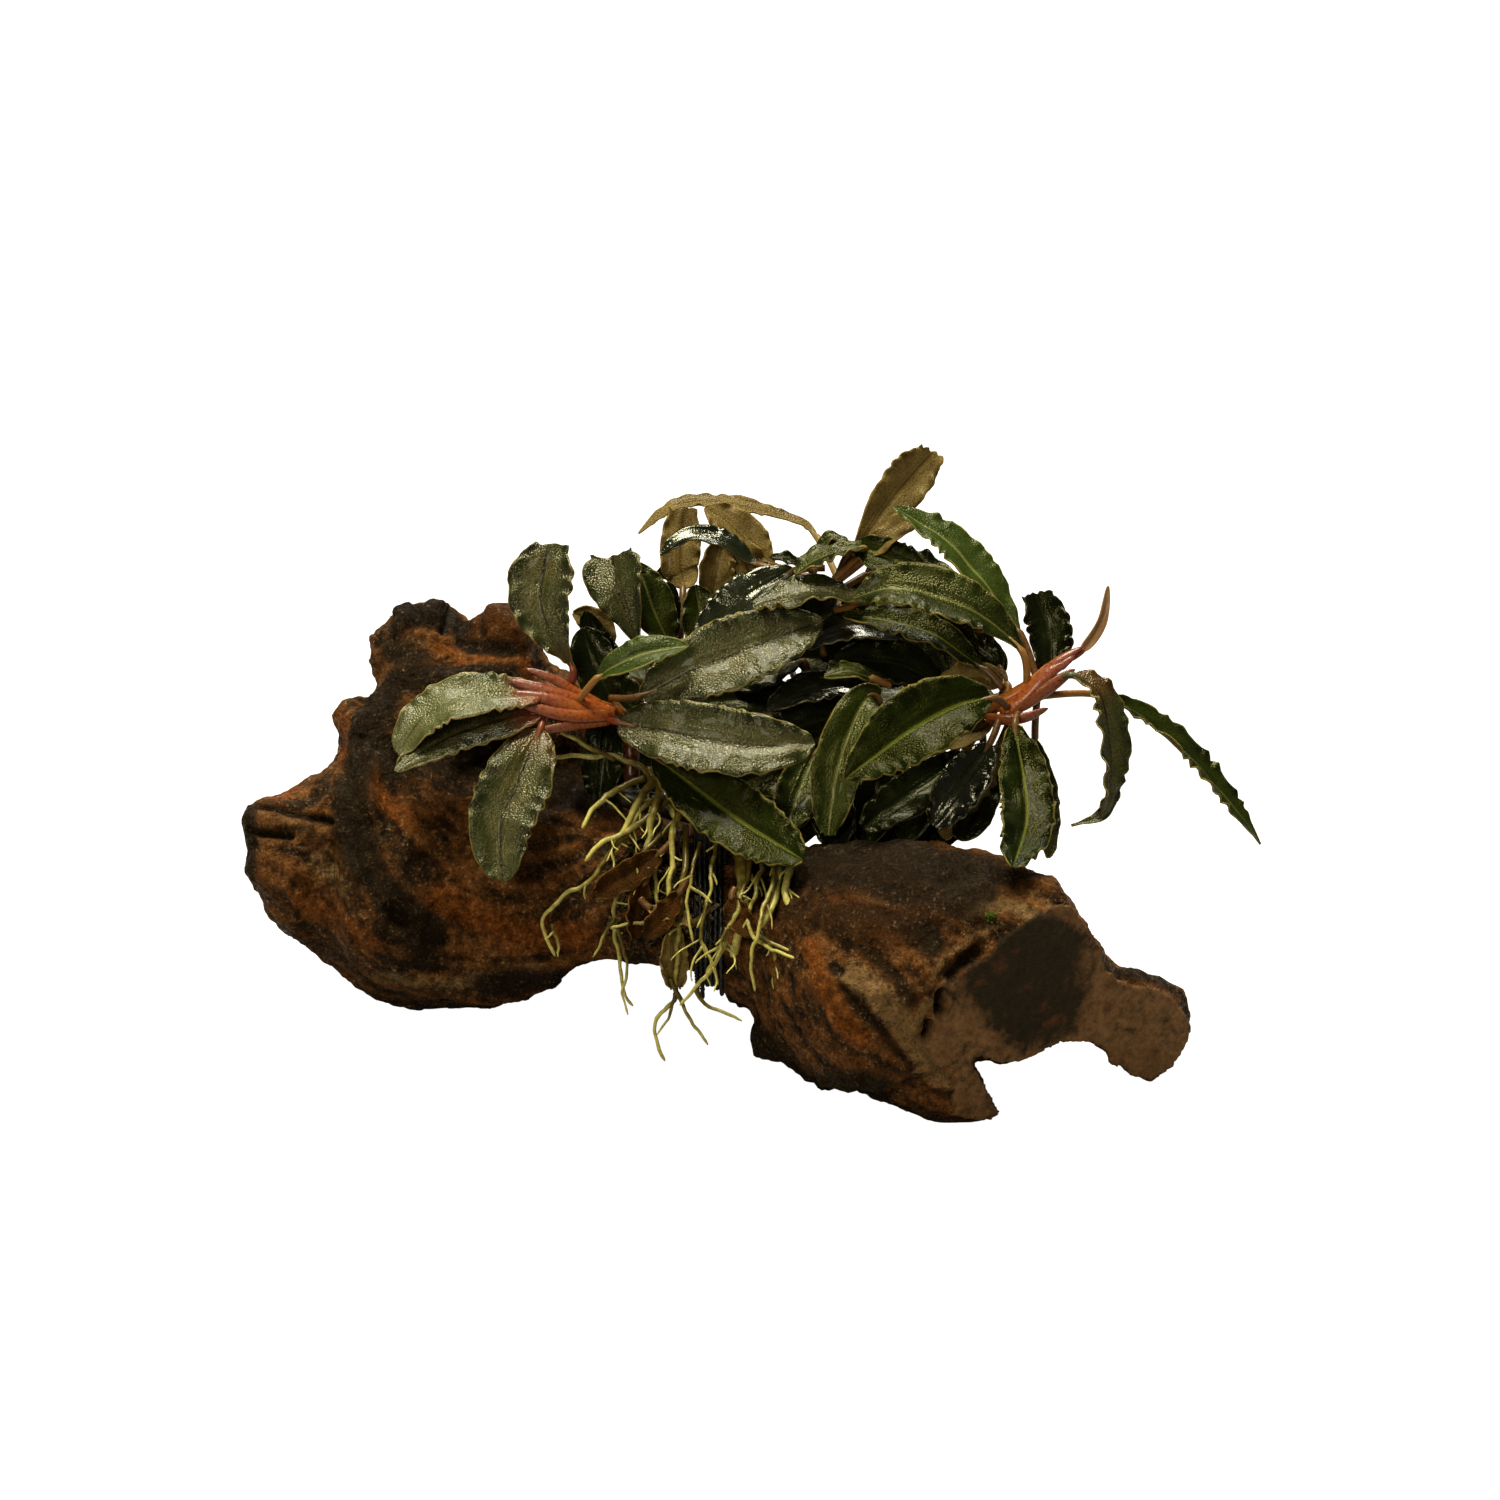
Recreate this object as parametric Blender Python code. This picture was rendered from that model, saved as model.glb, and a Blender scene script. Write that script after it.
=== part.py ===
"""Bucephalandra tied to a saddle-shaped piece of driftwood.

Lengths in this file are millimetres and become metres when a mesh is finished.
+X is to the right, +Y to the back and +Z up. Many points are read from the usual view,
which looks to the back and 30 degrees down: across to the right, up the picture, and near,
which is towards the viewer.
"""

import math
from collections import namedtuple

import bmesh
import bpy
from mathutils import Matrix, Vector, noise
from mathutils.bvhtree import BVHTree
from mathutils.geometry import interpolate_bezier

MM = 0.001

# Driving dimensions
VIEW_DOWN = math.radians(30)
VIEW_DISTANCE = 1125.0
VIEW_UP = 75.6
VIEW_NEAR = -20.0
FOOT_TO_MIDDLE = Vector((0.0, 52.0, 0.0))
GAP = 0.35
VOXEL = 1.7
SMOOTHING = 6
WOOD_FACES = 3000
RING_SIDES = 20
LUMP_LENGTH = 22.0
LUMP_HEIGHT = 2.4
LUMP_STRETCH = 0.6
LUMP_DETAIL = (0.7, 2.1, 3)
DENT_FADE = 0.75

# The saw cut across the right end: an upright plane through the two feet
CUT_FOOT = Vector((43.0, 0.0, 0.0))
CUT_SLOPE = 0.486
FORK_X = 3.0
STUB_X = 71.0
KNOB_FORK = Vector((-60.0, 73.0, 46.0))
KNOB_AXIS = Vector((0.0, 0.5, 0.866))

CURVE_STEPS = 12
STALK_RADIUS = 0.75
BLADE_THICKNESS = 0.8
TIP_THINNING = 0.4
BLADE_BELLY = 0.9
BLADE_FULLNESS = 0.7
FOLD = 0.14
RIPPLE = 0.5
RIPPLE_WIDTH = 8.0
BLADE_STATIONS = 9
STALK_STATIONS = 2

Finish = namedtuple("Finish", "colour roughness")


def view_scale(near):
    """How wide the usual view is at a depth, next to its width at VIEW_NEAR."""
    return 1.0 - (near - VIEW_NEAR) / VIEW_DISTANCE


def turned(across, up, near):
    """A direction of the usual view as a direction in space."""
    sin, cos = math.sin(VIEW_DOWN), math.cos(VIEW_DOWN)
    return Vector((across, up * sin - near * cos, up * cos + near * sin))


def placed(x, y, z):
    """A point given from the front foot, moved so that the footprint's middle is at the origin."""
    return Vector((x, y, z)) - FOOT_TO_MIDDLE


def seen(across, up, near):
    """The place of a point read from the usual view."""
    scale = view_scale(near)
    return placed(*turned(across * scale, VIEW_UP + (up - VIEW_UP) * scale, near))


def finished(name, bm, finish):
    """Makes the object for one piece, in metres, with its own material."""
    bmesh.ops.triangulate(bm, faces=bm.faces)
    bmesh.ops.recalc_face_normals(bm, faces=bm.faces)
    bmesh.ops.transform(bm, matrix=Matrix.Scale(MM, 4), verts=bm.verts)
    mesh = bpy.data.meshes.new(name)
    bm.to_mesh(mesh)
    bm.free()
    material = bpy.data.materials.new(name)
    material.use_nodes = True
    shader = material.node_tree.nodes["Principled BSDF"]
    shader.inputs["Base Color"].default_value = (*finish.colour, 1.0)
    shader.inputs["Roughness"].default_value = finish.roughness
    shader.inputs["Metallic"].default_value = 0.0
    mesh.materials.append(material)
    obj = bpy.data.objects.new(name, mesh)
    bpy.context.scene.collection.objects.link(obj)
    return obj


def grown_ring(bm, ring, places):
    """Extrudes a ring of corners and moves the new ones to their places."""
    edges = [bm.edges.get((corner, ring[index - 1])) for index, corner in enumerate(ring)]
    made = bmesh.ops.extrude_edge_only(bm, edges=edges)
    fresh = {item for item in made["geom"] if isinstance(item, bmesh.types.BMVert)}
    following = []
    for corner, place in zip(ring, places):
        neighbours = [edge.other_vert(corner) for edge in corner.link_edges]
        partner = next(vert for vert in neighbours if vert in fresh)
        partner.co = place
        following.append(partner)
    return following


def sweep(bm, sections):
    """A closed body through sections that have the same number of corners."""
    sides = len(sections[0])
    first = bmesh.ops.create_circle(bm, cap_ends=False, segments=sides, radius=1.0)["verts"]
    for corner, place in zip(first, sections[0]):
        corner.co = place
    ring = first
    for places in sections[1:]:
        ring = grown_ring(bm, ring, places)
    ends = [bm.edges.get((row[i], row[i - 1])) for row in (first, ring) for i in range(sides)]
    bmesh.ops.holes_fill(bm, edges=ends, sides=sides)


def smooth_curve(points, steps):
    """Points along a soft curve through the given ones, with some steps to each span."""
    curve = [points[0]]
    for index in range(len(points) - 1):
        start, end = points[index], points[index + 1]
        before = points[max(index - 1, 0)]
        after = points[min(index + 2, len(points) - 1)]
        out_handle = start + (end - before) / 6
        in_handle = end - (after - start) / 6
        curve += interpolate_bezier(start, out_handle, in_handle, end, steps + 1)[1:]
    return curve


def evenly(curve, count):
    """Points that divide a curve into equal lengths."""
    lengths = [0.0]
    for before, after in zip(curve, curve[1:]):
        lengths.append(lengths[-1] + (after - before).length)
    result = []
    for step in range(count):
        wanted = lengths[-1] * step / (count - 1)
        index = max(i for i in range(len(curve)) if lengths[i] <= wanted + 1e-6)
        index = min(index, len(curve) - 2)
        share = (wanted - lengths[index]) / (lengths[index + 1] - lengths[index])
        result.append(curve[index].lerp(curve[index + 1], share))
    return result


def headings(points):
    """The direction of the curve at each of its points."""
    last = len(points) - 1
    return [
        (points[min(i + 1, last)] - points[max(i - 1, 0)]).normalized() for i in range(last + 1)
    ]


def tube(bm, points, radii, sides):
    """A round body along a curve."""
    across = headings(points)[0].orthogonal()
    sections = []
    for point, heading, radius in zip(points, headings(points), radii):
        across = (across - heading * across.dot(heading)).normalized()
        other = heading.cross(across)
        angles = [math.tau * side / sides for side in range(sides)]
        sections.append(
            [point + (across * math.cos(a) + other * math.sin(a)) * radius for a in angles]
        )
    sweep(bm, sections)


# Driftwood

WOOD = Finish((0.13, 0.055, 0.022), 0.7)

# x, lowest and highest point up the picture, middle and half width from front to back
TRUNK = [
    (-101.6, 53.0, 61.0, 51.0, 4.0),
    (-100.8, 47.0, 64.4, 51.0, 8.5),
    (-98.4, 43.6, 66.0, 51.0, 11.0),
    (-94.0, 38.6, 67.0, 51.0, 14.0),
    (-90.0, 35.0, 69.0, 52.0, 17.0),
    (-84.0, 30.6, 73.4, 54.0, 21.0),
    (-80.0, 27.8, 77.0, 55.0, 24.0),
    (-74.0, 24.6, 78.6, 57.0, 28.0),
    (-68.0, 22.8, 78.4, 58.5, 31.0),
    (-60.0, 23.6, 78.0, 59.5, 31.5),
    (-50.0, 24.4, 77.0, 59.0, 30.5),
    (-42.0, 27.6, 75.5, 57.5, 28.5),
    (-34.0, 31.0, 73.0, 56.0, 26.5),
    (-26.0, 32.6, 69.0, 54.0, 24.5),
    (-18.0, 31.8, 65.0, 51.0, 22.5),
    (-10.0, 28.8, 61.5, 47.0, 21.5),
    (-2.0, 23.6, 59.0, 41.0, 22.0),
    (4.0, 16.6, 58.0, 34.5, 24.0),
    (10.0, 11.0, 57.5, 28.5, 26.0),
    (16.0, 8.6, 58.0, 24.0, 27.0),
    (22.0, 8.0, 58.6, 22.0, 27.5),
    (30.0, 7.6, 59.0, 21.0, 27.0),
    (38.0, 10.0, 58.4, 20.0, 24.0),
    (43.0, 12.0, 57.5, 19.5, 22.5),
    (50.0, 11.0, 55.4, 18.0, 20.0),
    (56.0, 11.0, 52.8, 15.5, 18.0),
    (62.0, 13.0, 51.0, 13.0, 16.5),
    (66.0, 13.0, 46.0, 14.0, 14.0),
    (70.0, 12.0, 36.0, 17.0, 10.5),
    (75.0, 8.6, 33.4, 20.0, 11.0),
    (80.0, 8.0, 31.4, 22.0, 11.0),
    (85.0, 10.8, 29.6, 23.5, 9.0),
    (88.4, 18.0, 26.0, 24.0, 4.0),
]

# x, y, z, half width from front to back, half height
FRONT_PRONG = [
    (8.0, 20.0, 11.5, 7.0, 7.0),
    (16.0, 15.0, 10.5, 9.0, 8.0),
    (26.0, 10.0, 9.0, 9.0, 8.0),
    (35.0, 7.0, 8.5, 9.0, 9.0),
    (42.0, 6.0, 8.0, 8.5, 8.6),
    (47.0, 6.5, 6.6, 7.5, 6.6),
    (50.0, 7.0, 5.6, 4.0, 3.5),
]

# x, y, z of the middle and the three radii of each swelling
SWELLINGS = [
    (-66.0, 84.0, 60.0, 12.0, 12.0, 12.2),
    (-49.5, 84.0, 61.0, 9.0, 10.5, 11.0),
    (-57.0, 76.0, 48.0, 18.0, 17.0, 18.0),
    (-41.0, 77.0, 48.0, 12.0, 13.0, 12.0),
    (-77.6, 71.0, 50.5, 6.0, 8.0, 6.5),
    (-72.0, 66.5, 50.5, 7.5, 7.5, 11.0),
    (-60.0, 70.0, 57.0, 12.0, 6.0, 5.0),
    (-64.0, 70.0, 14.0, 24.0, 18.0, 15.0),
    (12.0, 46.0, 20.0, 22.0, 15.0, 16.0),
    (20.0, 18.0, 8.6, 12.0, 9.0, 8.6),
]

CARVE_NEAR = 60.0
CARVE_FAR = -110.0

# Outlines, across and up the picture, that are cut away from front to back
HOLLOWS = [
    [
        (43.4, 14.8), (50.0, 12.8), (54.0, 13.0), (58.0, 14.2), (64.0, 17.2), (68.0, 17.0),
        (71.4, 14.6), (73.0, 10.6), (76.0, 8.6), (76.0, -9.0), (51.0, -9.0), (50.2, 3.0),
        (49.2, 5.0), (47.0, 9.0),
    ],
    [
        (-34.0, 32.6), (-28.0, 33.6), (-20.0, 32.6), (-13.0, 31.0), (-6.0, 27.0), (0.0, 23.0),
        (3.6, 18.0), (8.6, 12.4), (8.0, -9.0), (-36.0, -9.0), (-38.0, 30.6),
    ],
    [
        (61.6, 49.4), (65.2, 44.4), (68.4, 39.4), (71.6, 33.6), (73.0, 32.0), (84.0, 31.4),
        (84.0, 56.0), (60.0, 56.0),
    ],
]

# Where the surface is pressed in: the middle, the three radii and the push
DENTS = [
    ((-47.0, 33.0, 30.0), (27.0, 16.0, 20.0), (0.0, 6.5, 1.5)),
    ((-44.0, 52.0, 55.0), (20.0, 14.0, 10.0), (0.0, 3.0, -6.0)),
    ((-86.0, 36.0, 30.0), (5.0, 16.0, 20.0), (1.5, 2.5, 0.0)),
    ((58.0, 4.0, 12.0), (13.0, 16.0, 10.0), (0.0, 0.0, 5.0)),
    ((-54.0, 92.0, 62.0), (5.0, 9.0, 16.0), (0.0, -4.0, -1.0)),
    ((-30.0, 84.0, 26.0), (22.0, 12.0, 14.0), (0.0, -5.0, 0.0)),
    ((48.0, 44.0, 34.0), (14.0, 9.0, 12.0), (0.0, -4.0, 0.0)),
]


def trunk_ring(x, low, high, y, half_depth):
    """The ring whose outline runs from low to high up the picture."""
    sin, cos = math.sin(VIEW_DOWN), math.cos(VIEW_DOWN)
    middle = (high + low) / 2
    near = (middle - y * sin) / cos * sin - y * cos
    scale = view_scale(near)
    half = (high - low) / 2 * scale
    half_height = math.sqrt(half**2 - (half_depth * sin) ** 2) / cos
    z = (VIEW_UP + (middle - VIEW_UP) * scale - y * sin) / cos
    return upright_ring(placed(x * scale, y, z), half_depth, half_height)


def upright_ring(middle, half_depth, half_height):
    """Corners of an oval that stands square to X."""
    corners = []
    for side in range(RING_SIDES):
        angle = math.tau * side / RING_SIDES
        offset = Vector((0, half_depth * math.cos(angle), half_height * math.sin(angle)))
        corners.append(middle + offset)
    return corners


def swelling(bm, x, y, z, rx, ry, rz):
    """A rounded burr with three radii."""
    size = Matrix.Diagonal((rx, ry, rz, 1.0))
    bmesh.ops.create_icosphere(
        bm, subdivisions=3, radius=1.0, matrix=Matrix.Translation(placed(x, y, z)) @ size
    )


def with_modifier(bm, kind, **settings):
    """The mesh as one modifier leaves it."""
    mesh = bpy.data.meshes.new("stage")
    bmesh.ops.recalc_face_normals(bm, faces=bm.faces)
    bm.to_mesh(mesh)
    bm.free()
    stage = bpy.data.objects.new("stage", mesh)
    bpy.context.scene.collection.objects.link(stage)
    modifier = stage.modifiers.new("stage", kind)
    for name, value in settings.items():
        setattr(modifier, name, value)
    bpy.context.view_layer.update()
    made = bmesh.new()
    evaluated = stage.evaluated_get(bpy.context.evaluated_depsgraph_get())
    made.from_mesh(evaluated.to_mesh())
    evaluated.to_mesh_clear()
    bpy.data.objects.remove(stage)
    bpy.data.meshes.remove(mesh)
    return made


def press(bm, middle, radii, push):
    """Moves the surface near a point, most at the point and not at all past the radii."""
    middle, push = placed(*middle), Vector(push)
    for vert in bm.verts:
        offset = vert.co - middle
        reach = sum((offset[i] / radii[i]) ** 2 for i in range(3))
        if reach < 1:
            vert.co += push * (1 - reach) ** DENT_FADE


def roughen(bm):
    """Uneven wood: long soft lumps that follow the length of the piece."""
    bm.normal_update()
    moves = {}
    for vert in bm.verts:
        along = Vector((vert.co.x * LUMP_STRETCH, vert.co.y, vert.co.z)) / LUMP_LENGTH
        moves[vert] = vert.normal * noise.fractal(along, *LUMP_DETAIL) * LUMP_HEIGHT
    for vert, move in moves.items():
        vert.co += move


def carve(bm, outline):
    """Cuts away what lies inside an outline of the usual view, from front to back."""
    cutter = bmesh.new()
    face = cutter.faces.new([cutter.verts.new(seen(*point, CARVE_NEAR)) for point in outline])
    grown = bmesh.ops.extrude_face_region(cutter, geom=[face])
    far = [item for item in grown["geom"] if isinstance(item, bmesh.types.BMVert)]
    viewpoint = seen(0, VIEW_UP, VIEW_NEAR + VIEW_DISTANCE)
    reach = (VIEW_DISTANCE + VIEW_NEAR - CARVE_FAR) / (VIEW_DISTANCE + VIEW_NEAR - CARVE_NEAR)
    for vert in far:
        vert.co = viewpoint + (vert.co - viewpoint) * reach
    bmesh.ops.recalc_face_normals(cutter, faces=cutter.faces)
    mesh = bpy.data.meshes.new("cutter")
    cutter.to_mesh(mesh)
    cutter.free()
    tool = bpy.data.objects.new("cutter", mesh)
    bpy.context.scene.collection.objects.link(tool)
    made = with_modifier(bm, "BOOLEAN", operation="DIFFERENCE", solver="EXACT", object=tool)
    bpy.data.objects.remove(tool)
    bpy.data.meshes.remove(mesh)
    return made


def kept_side(bm, point, normal):
    """Cuts the mesh flat at a plane, and keeps the side that the normal points away from."""
    everything = bm.verts[:] + bm.edges[:] + bm.faces[:]
    bmesh.ops.bisect_plane(
        bm, geom=everything, plane_co=point, plane_no=normal, clear_outer=True, dist=1e-4
    )
    edges = [edge for edge in bm.edges if edge.is_boundary]
    bmesh.ops.holes_fill(bm, edges=edges, sides=0)


def half_space(bm, point, normal):
    """A copy of the mesh on the side that the normal points away from."""
    piece = bm.copy()
    kept_side(piece, point, normal)
    return piece


def wood_body():
    """The whole branch before it is divided at its forks."""
    bm = bmesh.new()
    sweep(bm, [trunk_ring(*row) for row in TRUNK])
    sweep(bm, [upright_ring(placed(*row[:3]), *row[3:]) for row in FRONT_PRONG])
    for row in SWELLINGS:
        swelling(bm, *row)
    bm = with_modifier(bm, "REMESH", mode="VOXEL", voxel_size=VOXEL)
    bm = with_modifier(bm, "SMOOTH", factor=0.5, iterations=SMOOTHING)
    for row in DENTS:
        press(bm, *row)
    roughen(bm)
    for outline in HOLLOWS:
        bm = carve(bm, outline)
    bm = with_modifier(bm, "DECIMATE", ratio=WOOD_FACES / (2 * len(bm.faces)))
    bmesh.ops.triangulate(bm, faces=bm.faces)
    kept_side(bm, placed(0, 0, 0), Vector((0, 0, -1)))
    cut_normal = Vector((CUT_SLOPE, -1.0, 0.0)).normalized()
    kept_side(bm, placed(*CUT_FOOT), cut_normal)
    return bm


def make_driftwood():
    """The branch in four pieces, with a hairline gap at each main fork."""
    whole = wood_body()
    half = Vector((GAP / 2, 0, 0))
    fork, stub = Vector((FORK_X, 0, 0)), Vector((STUB_X, 0, 0))
    right = Vector((1, 0, 0))
    left_side = half_space(whole, fork - half, right)
    right_side = half_space(whole, fork + half, -right)
    knob_point = placed(*KNOB_FORK)
    limb = half_space(left_side, knob_point - KNOB_AXIS * GAP / 2, KNOB_AXIS)
    knob = half_space(left_side, knob_point + KNOB_AXIS * GAP / 2, -KNOB_AXIS)
    left_side.free()
    right_limb = half_space(right_side, stub - half, right)
    right_stub = half_space(right_side, stub + half, -right)
    right_side.free()
    for name, piece in (
        ("driftwood_left_limb", limb),
        ("driftwood_upper_knob", knob),
        ("driftwood_right_limb", right_limb),
        ("driftwood_right_stub", right_stub),
    ):
        finished(name, piece, WOOD)
    return whole


# Rhizomes: the creeping stems, as points of the usual view

RHIZOME_SIDES = 8
RHIZOME_KNUCKLE = 0.12
Rhizome = namedtuple("Rhizome", "name first_radius last_radius finish path")

OLD_STEM = Finish((0.16, 0.10, 0.04), 0.5)
YOUNG_STEM = Finish((0.42, 0.10, 0.06), 0.5)

RHIZOMES = [
    Rhizome("rhizome_main", 2.3, 2.2, OLD_STEM, [
        (-27.0, 67.0, -23.0), (-19.0, 64.8, -20.5), (-8.0, 62.4, -19.0), (1.0, 61.4, -16.0),
        (8.0, 61.6, -13.6),
    ]),
    Rhizome("rhizome_left", 1.6, 1.8, YOUNG_STEM, [
        (-23.8, 70.2, -22.6), (-24.0, 78.0, -22.4), (-26.5, 82.6, -20.6), (-32.0, 84.4, -18.0),
        (-38.0, 85.4, -17.4), (-43.4, 87.0, -17.6),
    ]),
    Rhizome("rhizome_middle", 1.3, 1.2, OLD_STEM, [
        (-15.6, 67.8, -23.6), (-14.6, 76.0, -27.0), (-15.4, 84.0, -30.0), (-17.0, 90.4, -31.0),
    ]),
    Rhizome("rhizome_top", 1.3, 1.2, OLD_STEM, [
        (3.4, 65.8, -18.0), (6.0, 76.0, -24.0), (11.0, 90.0, -28.0), (15.4, 102.0, -27.0),
        (17.4, 110.4, -24.4),
    ]),
    Rhizome("rhizome_right", 1.5, 1.5, YOUNG_STEM, [
        (11.0, 64.8, -15.4), (18.0, 69.4, -17.4), (30.0, 76.0, -17.0), (42.0, 81.0, -14.0),
        (50.0, 85.0, -11.8), (56.0, 88.4, -11.0), (61.6, 93.0, -11.4),
    ]),
]

# Roots, as points of the usual view

ROOT_SIDES = 5
ROOT_TIP = 0.35
ROOT = Finish((0.42, 0.40, 0.12), 0.4)
Root = namedtuple("Root", "radius path")

ROOTS = [
    Root(0.6, [
        (-20.6, 62.4, -16.6), (-23.6, 59.4, -14.0), (-27.4, 56.0, -12.6), (-32.0, 49.8, -12.0),
        (-36.4, 46.8, -12.4), (-41.6, 41.8, -13.6), (-39.0, 34.4, -15.6),
    ]),
    Root(0.6, [
        (-18.0, 61.6, -16.0), (-18.6, 56.6, -13.4), (-18.8, 48.8, -10.6), (-18.4, 45.0, -9.6),
        (-15.0, 42.8, -8.6), (-11.8, 42.4, -6.8),
    ]),
    Root(0.6, [
        (-15.2, 60.8, -15.2), (-19.6, 56.8, -10.6), (-24.0, 52.0, -9.6), (-26.6, 47.0, -10.4),
        (-27.0, 42.0, -12.0), (-26.6, 37.0, -13.6), (-25.2, 27.4, -15.0), (-23.4, 24.4, -15.6),
    ]),
    Root(0.65, [
        (-12.8, 60.2, -14.8), (-13.0, 52.0, -7.4), (-13.8, 44.0, -5.2), (-14.6, 37.2, -5.6),
        (-15.0, 32.0, -8.0), (-15.0, 26.0, -12.0), (-18.8, 21.6, -14.0), (-18.4, 16.4, -15.0),
        (-17.0, 13.4, -15.5),
    ]),
    Root(0.6, [
        (0.4, 58.6, -12.6), (-0.6, 50.0, -3.5), (-3.6, 41.0, 1.6), (-7.0, 33.2, 0.0),
        (-10.6, 28.4, -4.0), (-14.0, 24.6, -7.0),
    ]),
    Root(1.0, [
        (-2.4, 58.4, -14.4), (-1.8, 51.0, -6.2), (-1.6, 44.0, -2.0), (-2.4, 38.0, -0.6),
        (-3.6, 34.2, -1.0),
    ]),
]

# Leaves: width, the way the upper side faces in the usual view, and the points of the
# usual view from the foot of the leaf stalk, through the foot of the blade, to the tip

LEAF = Finish((0.045, 0.07, 0.03), 0.35)
POINTED, BLUNT = 0.1, 0.6
Leaf = namedtuple("Leaf", "name width tip face path")

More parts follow.
